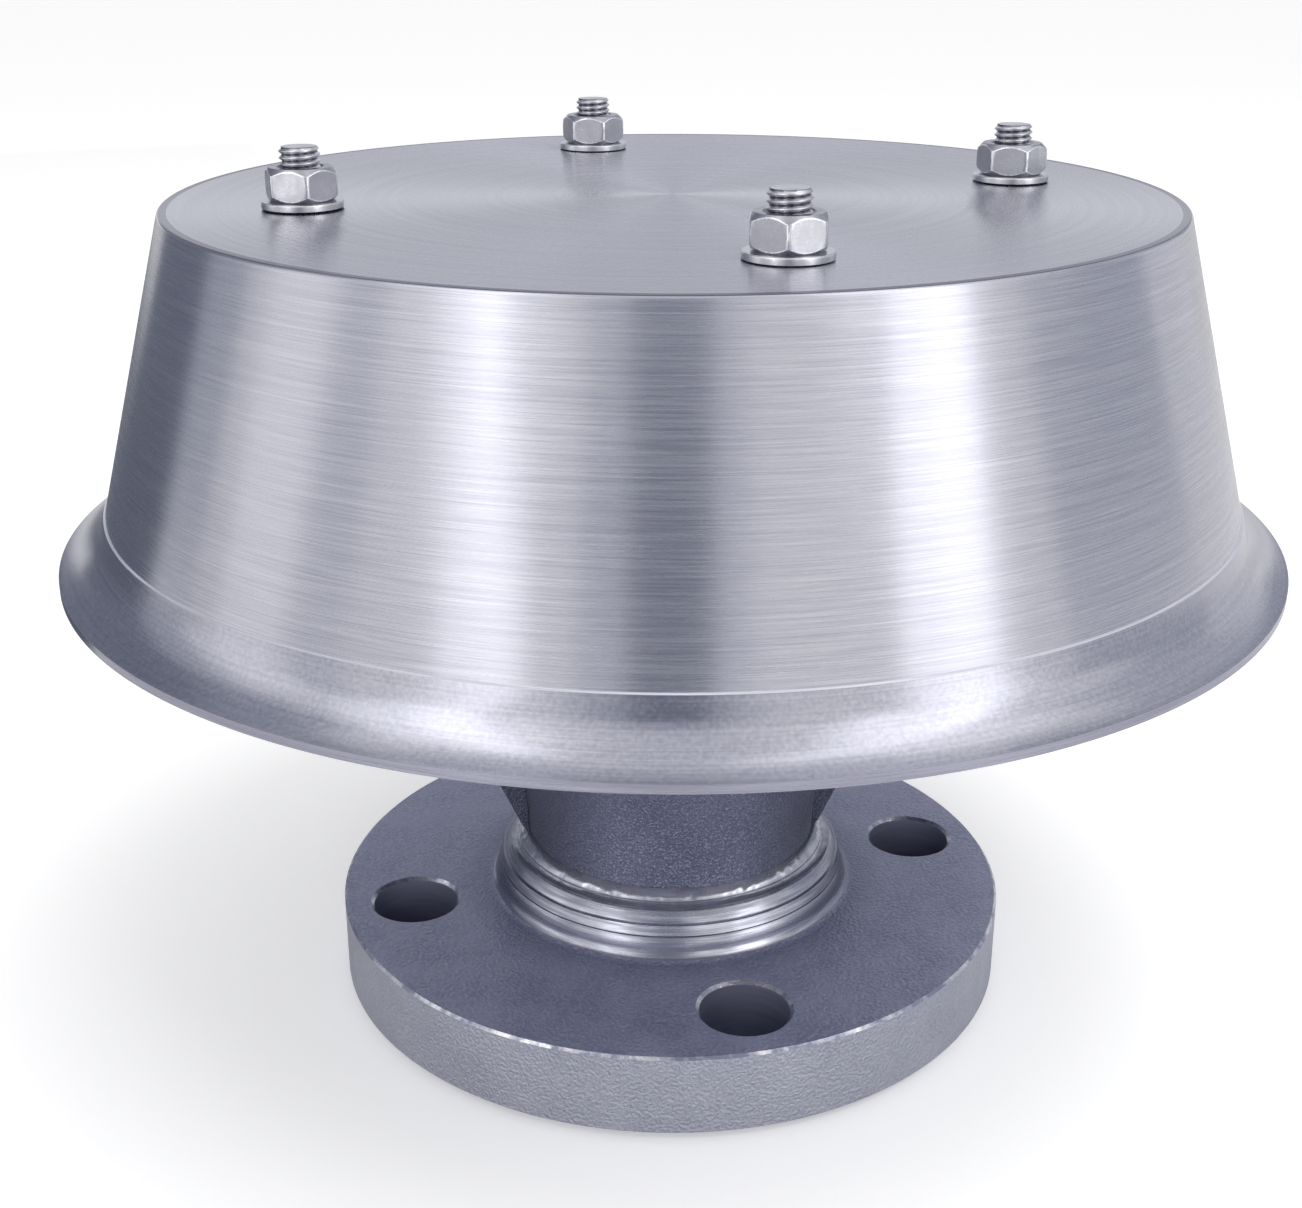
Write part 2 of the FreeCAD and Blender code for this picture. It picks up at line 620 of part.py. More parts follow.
def clamp_ring():
    body = new_body("clamp_ring")
    mouth = f"({CASSETTE_BORE} - Sizes.clamp_lap)"
    edge = "Sizes.ring_edge"
    turned(body, [
        (mouth, CLAMP_FOOT),
        (f"{RING} - {edge}", CLAMP_FOOT),
        (RING, f"{CLAMP_FOOT} + {edge}"),
        (RING, f"{CLAMP_TOP} - {edge}"),
        (f"{RING} - {edge}", CLAMP_TOP),
        (f"{mouth} + Sizes.clamp_edge", CLAMP_TOP),
        (mouth, f"{CLAMP_TOP} - Sizes.clamp_edge"),
    ])
    drilled(body, STUD_LINE, STUD_HOLE, "Sizes.stud_count")


def spacer_sleeves():
    """Tubes on the studs, which carry the hood above the clamp ring."""
    outer = f"{SLEEVE_HOLE} + 2 * Sizes.sleeve_wall"
    flat_ring("spacer_sleeves", outer, SLEEVE_HOLE, "Sizes.sleeve_length", CLAMP_TOP,
              STUD_LINE, "Sizes.stud_count")


def weather_hood():
    """Spun shell of one sheet thickness: flat top, cone skirt, bead line and flared rim."""
    body = new_body("weather_hood")
    top_edge = half("hood_top_od")
    shoulder = f"({top_edge} + Sizes.hood_edge_width)"
    shoulder_height = f"({HOOD_TOP} - Sizes.hood_edge_drop)"
    foot = f"({shoulder} + Sizes.skirt_spread)"
    foot_height = f"({HOOD_TOP} - Sizes.skirt_height)"
    slope = "(Sizes.skirt_spread / (Sizes.skirt_height - Sizes.hood_edge_drop))"
    wall = f"(Sizes.hood_sheet * sqrt(1 + {slope}^2))"
    under_edge = f"{shoulder} + (Sizes.hood_sheet - Sizes.hood_edge_drop) * {slope} - {wall}"
    rim = f"({foot} + Sizes.rim_flare)"
    outer_round = "Sizes.rim_round"
    inner_round = "(Sizes.rim_round + Sizes.hood_sheet)"
    flare_centre = f"({foot} + {outer_round} * cos(Sizes.rim_start))"
    flare_height = f"({foot_height} + {outer_round} * sin(Sizes.rim_start))"

    def rim_height(radius):
        return f"{flare_height} - sqrt({radius}^2 - ({flare_centre} - {rim})^2)"

    turned(body, [
        ("0", HOOD_UNDER),
        ("0", HOOD_TOP),
        (top_edge, HOOD_TOP),
        (shoulder, shoulder_height, "Sizes.hood_edge_round", -1),
        (f"{foot} - Sizes.bead_height * {slope}", f"{foot_height} + Sizes.bead_height"),
        (foot, foot_height, "Sizes.bead_round", -1),
        (rim, rim_height(outer_round), outer_round, 1),
        (rim, rim_height(inner_round)),
        (f"{foot} - Sizes.hood_sheet * cos(Sizes.rim_start)",
         f"{foot_height} - Sizes.hood_sheet * sin(Sizes.rim_start)", inner_round, -1),
        (under_edge, HOOD_UNDER),
    ])
    drilled(body, STUD_LINE, STUD_HOLE, "Sizes.stud_count")


def on_stud(body, number, height, turn="0"):
    """Stand a body on a numbered stud at a height, turned about the stud."""
    angle = f"({number} * 360 / Sizes.stud_count)"
    bind(body, "Placement.Base.x", f"{STUD_LINE} * cos({angle})")
    bind(body, "Placement.Base.y", f"{STUD_LINE} * sin({angle})")
    bind(body, "Placement.Base.z", height)
    bind(body, "Placement.Rotation.Angle", turn)


def hood_fasteners():
    for number in range(round(size("Sizes.stud_count"))):
        washer = flat_ring(f"hood_washer_{number + 1}", "Sizes.washer_od", WASHER_HOLE,
                           "Sizes.washer_thickness", "0")
        on_stud(washer, number, HOOD_TOP)
        nut = hexagon_nut(f"hood_nut_{number + 1}")
        on_stud(nut, number, HOOD_NUT, f"Sizes.nut_turn_{number + 1}")


def check_and_write():
    """Stop if any object failed, then write each piece under its label."""
    document.recompute()
    failed = [item.Name for item in document.Objects
              if "Invalid" in item.State or "Error" in item.State]
    if failed:
        raise RuntimeError(f"objects that failed: {failed}")
    pieces = [item for item in document.Objects
              if item.TypeId in ("PartDesign::Body", "Part::Feature") and not item.getParentGroup()]
    for piece in pieces:
        if piece.Shape.isNull() or not piece.Shape.isValid() or not piece.Shape.Solids:
            raise RuntimeError(f"{piece.Label}: no valid solid")
    os.makedirs("parts", exist_ok=True)
    for piece in pieces:
        piece.Shape.exportStep(f"parts/{piece.Label}.step")
        print(f"{piece.Label}: {len(piece.Shape.Solids)} solids, {piece.Shape.Volume:.0f} mm3")


pipe_flange()
welds()
inlet_bell()
gusset_plates()
hood_studs()
lower_fasteners()
gaskets()
cassette_ring()
cassette_inside()
centre_bolt()
clamp_ring()
spacer_sleeves()
weather_hood()
hood_fasteners()
check_and_write()
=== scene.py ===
import json
import math

import bmesh
import bpy
from mathutils import Matrix, Vector, noise


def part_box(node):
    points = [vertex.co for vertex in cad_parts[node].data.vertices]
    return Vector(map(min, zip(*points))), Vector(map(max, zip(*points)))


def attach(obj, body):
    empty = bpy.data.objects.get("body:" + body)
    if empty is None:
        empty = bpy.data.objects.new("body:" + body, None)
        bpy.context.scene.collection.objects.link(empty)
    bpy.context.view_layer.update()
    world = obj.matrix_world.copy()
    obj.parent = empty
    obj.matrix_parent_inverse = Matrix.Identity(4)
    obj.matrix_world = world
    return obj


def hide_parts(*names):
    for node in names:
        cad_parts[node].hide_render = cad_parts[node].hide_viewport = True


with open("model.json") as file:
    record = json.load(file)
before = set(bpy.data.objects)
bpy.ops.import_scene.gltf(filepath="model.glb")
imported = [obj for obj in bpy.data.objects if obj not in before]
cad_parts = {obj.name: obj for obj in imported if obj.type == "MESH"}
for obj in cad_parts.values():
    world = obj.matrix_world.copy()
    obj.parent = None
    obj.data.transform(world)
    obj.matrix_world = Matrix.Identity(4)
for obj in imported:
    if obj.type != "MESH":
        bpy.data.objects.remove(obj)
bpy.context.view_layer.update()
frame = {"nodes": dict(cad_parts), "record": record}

# The flame arrester's looks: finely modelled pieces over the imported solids, their finishes,
# the studio around them and the photograph's camera. Lengths are in metres.

MM = 0.001
SAME_POINT = 1e-7
SMOOTH_DEGREES = 30

# Places that the frame gives
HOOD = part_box("weather_hood")
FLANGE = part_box("pipe_flange")
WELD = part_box("flange_weld")
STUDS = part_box("hood_studs")
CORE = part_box("ribbon_core")
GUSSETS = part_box("gusset_plates")
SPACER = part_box("disc_spacer")
STUD_COUNT = 4
STUD_RADIUS = 4.0 * MM
STUD_LINE = STUDS[1].x - STUD_RADIUS

# Hood: sizes as in the part, with a tighter top edge and a small ledge over its bead line
TOP_RADIUS = 101.3 * MM
EDGE_WIDTH = 1.9 * MM
EDGE_DROP = 1.1 * MM
EDGE_FLAT = 0.9 * MM
EDGE_LIFT = 0.6 * MM
EDGE_ROUND = 0.75 * MM
EDGE_START = 0.2 * MM
SHEET = 1.6 * MM
SKIRT_HEIGHT = 60.4 * MM
RIM_FLARE = 9.8 * MM
RIM_ROUND = 14.15 * MM
RIM_START = math.radians(16.6)
RIM_STEPS = 28
RIM_HIDDEN_STEPS = 5
BEAD_HEIGHT = 1.3 * MM
BEAD_LEDGE = 0.35 * MM
BEAD_PROUD = 0.35 * MM
HOOD_FOOT = HOOD[1].z - SKIRT_HEIGHT
STUD_HOLE = 4.5 * MM

# Flange and neck: sizes as in the part, with the hub's foot a little narrower
FLANGE_TOP = 19.8 * MM
FACE_STEP = 1.6 * MM
FACE_RADIUS = 46.05 * MM
FLANGE_EDGE = 0.55 * MM
NECK_RADIUS = 33.0 * MM
NECK_GAP = 0.05 * MM
NECK_WALL = NECK_RADIUS + NECK_GAP
BAND_RADIUS = 39.5 * MM
FOOT_RADIUS = 40.5 * MM
FOOT_FILLET = 2.6 * MM
# Reach over the flange top of the painted shade round the hub's foot
FOOT_SHADE = 7.5 * MM
FOOT_BULGE = 5.0 * MM
BAND_FOOT = 24.9 * MM
BAND_TOP = 27.3 * MM
HUB_TOP_RADIUS = 37.2 * MM
HUB_BULGE = 9.0 * MM
GROOVE = 0.35 * MM
BAND_LEAN = 0.35 * MM
HUB_UNEVEN = 0.08 * MM
HUB_WAVES = 150
HUB_UNEVEN_FROM = FLANGE_TOP + FOOT_FILLET / 2
HUB_TURNED_FROM = FLANGE_TOP + FOOT_FILLET / 6
BOLT_CIRCLE = 60.325 * MM
BOLT_HOLE = 9.525 * MM
HOLE_WEAR = 0.7 * MM

# Faces nearer than this to the hood's top, a piece's widest radius or the bore belong there
TOP_SKIN = 0.11 * MM
SIDE_SKIN = 0.1 * MM
BORE_SKIN = 0.5 * MM

# Cutters reach this far past what they cut
OVERCUT = 1.6 * MM

# Outer weld: waist and crest as distances from the neck and from its foot, and its curves
WELD_TOE = HUB_TOP_RADIUS - 0.15 * MM
WELD_STEP = 0.1 * MM
WELD_WAIST = (2.1 * MM, 0.8 * MM)
WELD_CREST = (2.2 * MM, 1.9 * MM)
WELD_LOWER_ROUND = 1.6 * MM
WELD_WAIST_ROUND = 0.8 * MM
WELD_UPPER_ROUND = 3.2 * MM
# Heights over the weld's foot: below the first its painted shade is full, above the second it is
# gone
WELD_DARK = 1.6 * MM
WELD_LIT = 2.1 * MM
RIPPLES = 62
RIPPLE_DEPTH = 0.07 * MM
RIPPLE_LEAN = 3
RIPPLE_STRAY = 2.5
RIPPLE_STRAY_GRAIN = 160
RIPPLE_RISE = 0.6
POCK_DEPTH = 0.25 * MM
POCK_GRAIN = 260

# Gusset plates: their inner edge follows the bell, their tips run out on the weld
GUSSET_ANGLES = (-12, 168)
GUSSET_HALF = 2.0 * MM
GUSSET_TIP = 29.9 * MM
GUSSET_SLOPE = math.tan(math.radians(24.7))
GUSSET_TOE = 1.8 * MM
BELL_CURVE = 63.83 * MM

# M8 hardware
PITCH = 1.25 * MM
THREAD_DEPTH = 0.65 * MM
THREAD_STEEP = 2.3
THREAD_ROUND = 0.9
THREAD_BEVEL = 0.6 * MM
THREAD_LENGTH = 24 * MM
THREAD_STEPS = 12
# Depths below the crest between which thread faces get painted shade
SHADED_VALLEY_DEPTHS = (0.7 * THREAD_DEPTH, 1.1 * THREAD_DEPTH)
STUD_SEGMENTS = 40
NUT_FLATS = 13.0 * MM
NUT_HEIGHT = 6.5 * MM
NUT_BORE = 4.06 * MM
NUT_SINK = 0.5 * MM
NUT_THREAD = 0.35 * MM
NUT_THREAD_STEPS = 8
NUT_FACE = 6.1 * MM
NUT_FACE_SKIN = 0.05 * MM
NUT_BEVEL = math.tan(math.radians(46))
NUT_POINT = NUT_FLATS / math.sqrt(3) - 0.1 * MM
# Width of the painted highlight along the nut's bevel edges
NUT_GLINT_WIDTH = 0.13 * MM
NUT_LEVELS = [0.1 * MM * number for number in range(13)] + [2.2 * MM, NUT_HEIGHT / 2]
NUT_SEGMENTS = 180
NUT_TURNS = (31.0, 38.0, 35.0, 11.0)
WASHER_RADIUS = 8.0 * MM
WASHER_BORE = 4.2 * MM
WASHER_HEIGHT = 1.6 * MM
WASHER_EDGE = 0.35 * MM
WASHER_BEVEL = 0.2 * MM
# Height of the washer's lowest band, which gets painted shadow
WASHER_SHADOW_BAND = 0.2 * MM

# Ribbon of a real one's fineness: 0.2 mm foil, crimps 2.4 mm long and 2 mm high
FOIL = 0.2 * MM
CRIMP = 2.4 * MM
WINDING = 2.2 * MM
FLAT_STEP = math.radians(5)


def around(number, count=STUD_COUNT):
    """Angle of one of several places spread evenly round the axis."""
    return 2 * math.pi * number / count


def on_circle(radius, angle):
    """Point on a circle about the axis."""
    return radius * math.cos(angle), radius * math.sin(angle)


STUD_CENTRES = [on_circle(STUD_LINE, around(number)) for number in range(STUD_COUNT)]


def arc(start, end, radius, side, steps):
    """Points after start, up to end, on an arc that turns to the left (1) or right (-1)."""
    start, end = Vector(start), Vector(end)
    chord = end - start
    rise = math.sqrt(max(radius ** 2 - (chord.length / 2) ** 2, 0))
    centre = (start + end) / 2 + Vector((-chord.y, chord.x)).normalized() * side * rise
    first, last = start - centre, end - centre
    sweep = first.angle_signed(last)
    turns = [Matrix.Rotation(-sweep * step / steps, 2) for step in range(1, steps + 1)]
    return [tuple(centre + turn @ first) for turn in turns]


def finished(name, build, smooth=SMOOTH_DEGREES, slots=()):
    """Turn a bmesh into a scene object with smooth faces and sharp edges over an angle."""
    mesh = bpy.data.meshes.new(name)
    bmesh.ops.recalc_face_normals(build, faces=build.faces)
    build.to_mesh(mesh)
    build.free()
    mesh.shade_smooth()
    mesh.set_sharp_from_angle(angle=math.radians(smooth))
    for finish in slots:
        mesh.materials.append(finish)
    piece = bpy.data.objects.new(name, mesh)
    bpy.context.scene.collection.objects.link(piece)
    return piece


def rings(build, rows, closed_up=False):
    """Join rows of points, each a closed ring, by quads."""
    made = [[build.verts.new(point) for point in row] for row in rows]
    pairs = zip(made, made[1:] + made[:1]) if closed_up else zip(made, made[1:])
    for low, high in pairs:
        for index in range(len(low)):
            after = (index + 1) % len(low)
            build.faces.new((low[index], low[after], high[after], high[index]))
    return made


def bar(build, rows):
    """Join rows of points, each a closed ring, and close both ends."""
    made = rings(build, rows)
    build.faces.new(made[0])
    build.faces.new(made[-1])


def lathe(name, profile, slots, segments, smooth=SMOOTH_DEGREES, centre=(0.0, 0.0), lump=None):
    """Turn a closed profile of (radius, height) about an upright axis."""
    build = bmesh.new()
    rows = []
    for radius, height in profile:
        row = []
        for segment in range(segments):
            angle = around(segment, segments)
            point = Vector((*on_circle(radius, angle), height))
            if lump:
                point += lump(point, angle)
            row.append(point + Vector((*centre, 0)))
        rows.append(row)
    rings(build, rows, closed_up=True)
    bmesh.ops.remove_doubles(build, verts=build.verts, dist=SAME_POINT)
    bmesh.ops.dissolve_degenerate(build, edges=build.edges, dist=SAME_POINT)
    return finished(name, build, smooth, slots)


def drill(piece, circle, radius, low, high, finish, segments, wear=0.0):
    """Cut a hole at each stud's angle, with a flare where its upper edge is worn."""
    flare = wear + OVERCUT if wear else 0.0
    profile = [(0.0, low - OVERCUT), (radius, low - OVERCUT), (radius, high - wear),
               (radius + flare, high + OVERCUT), (0.0, high + OVERCUT)]
    cutters = [lathe(f"cutter_{number}", profile, [finish], segments,
                     centre=on_circle(circle, around(number))) for number in range(STUD_COUNT)]
    for cutter in cutters:
        modifier = piece.modifiers.new("hole", "BOOLEAN")
        modifier.operation = "DIFFERENCE"
        modifier.solver = "EXACT"
        modifier.material_mode = "TRANSFER"
        modifier.object = cutter
    graph = bpy.context.evaluated_depsgraph_get()
    mesh = bpy.data.meshes.new_from_object(piece.evaluated_get(graph))
    piece.modifiers.clear()
    piece.data = mesh
    for cutter in cutters:
        bpy.data.objects.remove(cutter)


def paint(piece, choose):
    """Give each face the finish chosen for its distance from the axis, height and old finish."""
    names = [finish.name for finish in piece.data.materials]
    for face in piece.data.polygons:
        across = math.hypot(face.center.x, face.center.y)
        finish = choose(across, face.center.z, names[face.material_index])
        face.material_index = names.index(finish.name)
    piece.data.set_sharp_from_angle(angle=math.radians(SMOOTH_DEGREES))


def node(tree, kind, links=None, **settings):
    """Add a shader node, set its properties, and link or set its inputs."""
    made = tree.nodes.new(kind)
    for name, value in settings.items():
        setattr(made, name, value)
    for name, value in (links or {}).items():
        if isinstance(value, bpy.types.NodeSocket):
            tree.links.new(value, made.inputs[name])
        else:
            made.inputs[name].default_value = value
    return made


def math_node(tree, operation, first, second=0.0):
    return node(tree, "ShaderNodeMath", {0: first, 1: second}, operation=operation).outputs[0]


def fade(tree, value, low, high, start=0.0, end=1.0):
    """Carry a value's stretch from low to high over to start to end."""
    return node(tree, "ShaderNodeMapRange", {
        "Value": value, "From Min": low, "From Max": high, "To Min": start, "To Max": end,
    }).outputs["Result"]


def blend_color(tree, factor, first, second):
    """Mix two colours, each a link or its red, green and blue."""
    colors = [value if isinstance(value, bpy.types.NodeSocket) else (*value, 1)
              for value in (first, second)]
    return node(tree, "ShaderNodeMix", {0: factor, 6: colors[0], 7: colors[1]},
                data_type="RGBA").outputs[2]


def grain(tree, vector, scale, detail=2.0, rough=0.5):
    return node(tree, "ShaderNodeTexNoise", {
        "Vector": vector, "Scale": scale, "Detail": detail, "Roughness": rough,
    }).outputs["Fac"]


def bump(tree, height, strength, distance, under=None):
    links = {"Height": height, "Strength": strength, "Distance": distance}
    if under:
        links["Normal"] = under
    return node(tree, "ShaderNodeBump", links).outputs["Normal"]


def connect(tree, surface, **values):
    """Link values to the shader's sockets of those names."""
    for socket, value in values.items():
        tree.links.new(value, surface.inputs[socket.replace("_", " ")])


def new_finish(name, color, metallic, roughness, **shader):
    """A Principled finish, with its tree, its shader and the object's own coordinates.

    An anisotropic one stretches its highlights across the turning marks.
    """
    finish = bpy.data.materials.new(name)
    finish.use_nodes = True
    tree = finish.node_tree
    surface = tree.nodes["Principled BSDF"]
    surface.inputs["Base Color"].default_value = (*color, 1)
    surface.inputs["Metallic"].default_value = metallic
    surface.inputs["Roughness"].default_value = roughness
    for socket, value in shader.items():
        surface.inputs[socket.replace("_", " ")].default_value = value
    if "Anisotropic" in shader:
        surface.inputs["Anisotropic Rotation"].default_value = 0.25
        tangent = node(tree, "ShaderNodeTangent", direction_type="RADIAL", axis="Z")
        connect(tree, surface, Tangent=tangent.outputs[0])
    place = node(tree, "ShaderNodeTexCoord").outputs["Object"]
    return finish, tree, surface, place


def from_axis(tree, place):
    """A place's distance from the axis, and its three coordinates."""
    parts = node(tree, "ShaderNodeSeparateXYZ", {0: place}).outputs
    flat = node(tree, "ShaderNodeCombineXYZ", {0: parts[0], 1: parts[1]}).outputs[0]
    radius = node(tree, "ShaderNodeVectorMath", {0: flat}, operation="LENGTH").outputs["Value"]
    return radius, parts


def turning_marks(tree, place, around_scale, along_scale):
    """Coordinates that run far along a turned surface and hardly at all round it."""
    radius, parts = from_axis(tree, place)
    along = math_node(tree, "SUBTRACT", radius, parts[2])
    return node(tree, "ShaderNodeCombineXYZ", {
        0: math_node(tree, "MULTIPLY", parts[0], around_scale),
        1: math_node(tree, "MULTIPLY", parts[1], around_scale),
        2: math_node(tree, "MULTIPLY", along, along_scale),
    }).outputs[0]


def mean(tree, first, second):
    return math_node(tree, "MULTIPLY", math_node(tree, "ADD", first, second), 0.5)


def hood_finish(name="brushed_hood", shade_of=1.0, streaks=1.0, blue=1.0, metallic=1.0):
    """Spun sheet brushed round and round; the factors set its shade, marks and blueness."""
    finish, tree, surface, place = new_finish(
        name, (0.5, 0.5, 0.56), metallic, 0.27, Anisotropic=0.9)
    lines = grain(tree, turning_marks(tree, place, 45, 3200), 1.0, 3.0, 0.6)
    patches = grain(tree, turning_marks(tree, place, 12, 900), 1.0)
    dark, light = ([channel * shade_of for channel in color]
                   for color in ((0.42, 0.42, 0.49 * blue), (0.58, 0.58, 0.63 * blue)))
    reach = 0.2 / streaks
    shade = blend_color(tree, fade(tree, lines, 0.5 - reach, 0.5 + reach), dark, light)
    tone = blend_color(tree, fade(tree, patches, 0.35, 0.65, 0.0, 0.25), shade, dark)
    rough = math_node(tree, "ADD", fade(tree, patches, 0.3, 0.7, 0.25, 0.29),
                      fade(tree, lines, 0.3, 0.7, -0.03, 0.03))
    connect(tree, surface, Base_Color=tone, Roughness=rough,
            Normal=bump(tree, lines, 0.12 * streaks, 0.1 * MM))
    return finish


def rim_finish():
    """Satin rim: faint turning marks under a fine pebbled grain."""
    finish, tree, surface, place = new_finish(
        "satin_rim", (0.45, 0.45, 0.51), 1.0, 0.26, Anisotropic=0.6)
    lines = grain(tree, turning_marks(tree, place, 20, 1800), 1.0, 3.0, 0.6)
    mixed = mean(tree, lines, grain(tree, place, 1300))
    tone = blend_color(tree, fade(tree, mixed, 0.37, 0.63), (0.39, 0.39, 0.46), (0.5, 0.5, 0.56))
    connect(tree, surface, Base_Color=tone,
            Roughness=fade(tree, mixed, 0.35, 0.65, 0.22, 0.27),
            Normal=bump(tree, mixed, 0.1, 0.08 * MM))
    return finish


def flange_finish():
    """Dark satin forging with a fine orange-peel skin, with painted shade on the flange top round
    the hub's foot.
    """
    finish, tree, surface, place = new_finish("flange_steel", (0.25, 0.26, 0.36), 0.4, 0.5)
    clouds = grain(tree, place, 90, 4.0, 0.6)
    pores = grain(tree, place, 1300)
    radius, _ = from_axis(tree, place)
    tone = blend_color(tree, fade(tree, clouds, 0.35, 0.65),
                       (0.26, 0.28, 0.43), (0.355, 0.375, 0.535))
    tone = blend_color(tree, fade(tree, pores, 0.42, 0.68, 0.0, 0.7), tone, (0.44, 0.45, 0.57))
    edge = FOOT_RADIUS + FOOT_FILLET
    # Painted shade on the flange top, growing toward the hub's foot.
    painted_foot_shade = fade(tree, radius, edge + FOOT_SHADE, edge, 0.0, 0.45)
    connect(tree, surface, Base_Color=blend_color(tree, painted_foot_shade, tone, (0.16, 0.17, 0.28)),
            Roughness=fade(tree, clouds, 0.3, 0.7, 0.4, 0.52),
            Normal=bump(tree, pores, 1.0, 0.45 * MM))
    return finish


def side_finish():
    """Side of the flange with the same orange-peel skin, lighter than the top: partly a turned
    finish, partly painted light for the face out of the hood's shade.
    """
    finish, tree, surface, place = new_finish("flange_side", (0.42, 0.43, 0.5), 0.7, 0.45)
    pores = grain(tree, place, 1500)
    clouds = grain(tree, place, 60, 3.0, 0.6)
    tone = blend_color(tree, fade(tree, clouds, 0.35, 0.65),
                       (0.36, 0.37, 0.45), (0.42, 0.43, 0.51))
    tone = blend_color(tree, fade(tree, pores, 0.4, 0.66, 0.0, 0.4), tone, (0.53, 0.54, 0.61))
    connect(tree, surface, Base_Color=tone, Normal=bump(tree, pores, 1.0, 0.6 * MM))
    return finish


def machined_finish(name, color, roughness, around_scale=25, along_scale=2600):
    """Turned steel with tool marks round its axis."""
    finish, tree, surface, place = new_finish(name, color, 1.0, roughness, Anisotropic=0.5)
    lines = grain(tree, turning_marks(tree, place, around_scale, along_scale), 1.0, 3.0, 0.6)
    dark, light = ([channel * share for channel in color] for share in (0.7, 1.2))
    connect(tree, surface, Base_Color=blend_color(tree, fade(tree, lines, 0.3, 0.7), dark, light),
            Roughness=fade(tree, lines, 0.3, 0.7, roughness - 0.06, roughness + 0.06),
            Normal=bump(tree, lines, 0.2, 0.1 * MM))
    return finish


def gusset_painted_shade(tree, place, start, end, amount):
    """Share of painted shade, which grows toward the gussets' plane."""
    aim = on_circle(1.0, math.radians(GUSSET_ANGLES[0]))
    across = node(tree, "ShaderNodeVectorMath", {0: place, 1: (*aim, 0.0)},
                  operation="DOT_PRODUCT").outputs["Value"]
    radius, _ = from_axis(tree, place)
    near = math_node(tree, "ABSOLUTE", math_node(tree, "DIVIDE", across, radius))
    return fade(tree, near, start, end, 0.0, amount)


def hub_finish():
    """Hub turned in uneven passes, with painted shade toward the gussets."""
    finish, tree, surface, place = new_finish(
        "turned_hub", (0.42, 0.425, 0.49), 0.9, 0.28, Anisotropic=0.8)
    lines = grain(tree, turning_marks(tree, place, 35, 2400), 1.0, 3.0, 0.6)
    passes = grain(tree, turning_marks(tree, place, 90, 700), 1.0)
    mixed = mean(tree, lines, passes)
    tone = blend_color(tree, fade(tree, mixed, 0.38, 0.62),
                       (0.33, 0.335, 0.41), (0.66, 0.665, 0.74))
    # Painted shade on the hub's sides, toward the gussets' plane.
    dusk = gusset_painted_shade(tree, place, 0.55, 0.95, 0.7)
    connect(tree, surface, Base_Color=blend_color(tree, dusk, tone, (0.1, 0.105, 0.17)),
            Roughness=fade(tree, passes, 0.35, 0.65, 0.34, 0.22),
            Normal=bump(tree, mixed, 0.3, 0.15 * MM))
    return finish


def cast_finish(name="cast_body", side_shade=0.85):
    """Dark casting with a pebbled skin, with painted shade toward the gussets."""
    finish, tree, surface, place = new_finish(name, (0.17, 0.18, 0.27), 0.5, 0.34)
    pebbles = node(tree, "ShaderNodeTexVoronoi", {"Vector": place, "Scale": 1900.0},
                   feature="SMOOTH_F1").outputs["Distance"]
    skin = grain(tree, place, 2200)
    clouds = grain(tree, place, 60, 3.0)
    tone = blend_color(tree, fade(tree, clouds, 0.35, 0.65),
                       (0.13, 0.138, 0.215), (0.17, 0.178, 0.27))
    tone = blend_color(tree, fade(tree, skin, 0.5, 0.68, 0.0, 0.6), tone, (0.46, 0.47, 0.58))
    # Painted shade on the casting's sides, toward the gussets' plane.
    dusk = gusset_painted_shade(tree, place, 0.4, 0.92, side_shade)
    connect(tree, surface, Base_Color=blend_color(tree, dusk, tone, (0.05, 0.055, 0.09)),
            Roughness=fade(tree, skin, 0.3, 0.7, 0.3, 0.42),
            Normal=bump(tree, pebbles, 0.7, 0.4 * MM, bump(tree, skin, 0.9, 0.5 * MM)))
    return finish


def weld_finish():
    """Bead with bright ripple crests between dull heat tints, with painted shade below its waist
    and toward the gussets.
    """
    finish, tree, surface, place = new_finish("weld_bead", (0.5, 0.5, 0.56), 0.8, 0.25)
    tint = grain(tree, place, 220, 3.0)
    _, parts = from_axis(tree, place)
    tone = blend_color(tree, fade(tree, tint, 0.35, 0.65), (0.5, 0.505, 0.59), (0.74, 0.74, 0.8))
    # Painted shade below the bead's waist, and toward the gussets' plane.
    under = fade(tree, parts[2], WELD[0].z + WELD_LIT, WELD[0].z + WELD_DARK, 0.0, 0.45)
    shade = math_node(tree, "MAXIMUM", under, gusset_painted_shade(tree, place, 0.6, 0.95, 0.6))
    connect(tree, surface, Base_Color=blend_color(tree, shade, tone, (0.1, 0.11, 0.17)),
            Roughness=fade(tree, tint, 0.3, 0.7, 0.3, 0.14),
            Normal=bump(tree, grain(tree, place, 900), 0.2, 0.15 * MM))
    return finish


def worn_finish():
    """Edge rubbed bright in places."""
    finish, tree, surface, place = new_finish("worn_edge", (0.5, 0.5, 0.56), 0.9, 0.3)
    nicks = grain(tree, place, 180, 4.0, 0.7)
    tone = blend_color(tree, fade(tree, nicks, 0.42, 0.62), (0.25, 0.26, 0.35), (0.66, 0.66, 0.7))
    connect(tree, surface, Base_Color=tone, Roughness=fade(tree, nicks, 0.4, 0.6, 0.45, 0.25),
            Normal=bump(tree, nicks, 0.5, 0.3 * MM))
    return finish


def fastener_finish(name, light, dark, roughness):
    """Plated steel, faintly dulled in spots."""
    finish, tree, surface, place = new_finish(name, light, 1.0, roughness)
    spots = grain(tree, place, 350, 3.0)
    specks = grain(tree, place, 2500)
    connect(tree, surface, Base_Color=blend_color(tree, fade(tree, spots, 0.35, 0.65), light, dark),
            Roughness=fade(tree, spots, 0.3, 0.7, roughness - 0.04, roughness + 0.06),
            Normal=bump(tree, specks, 0.15, 0.05 * MM))
    return finish


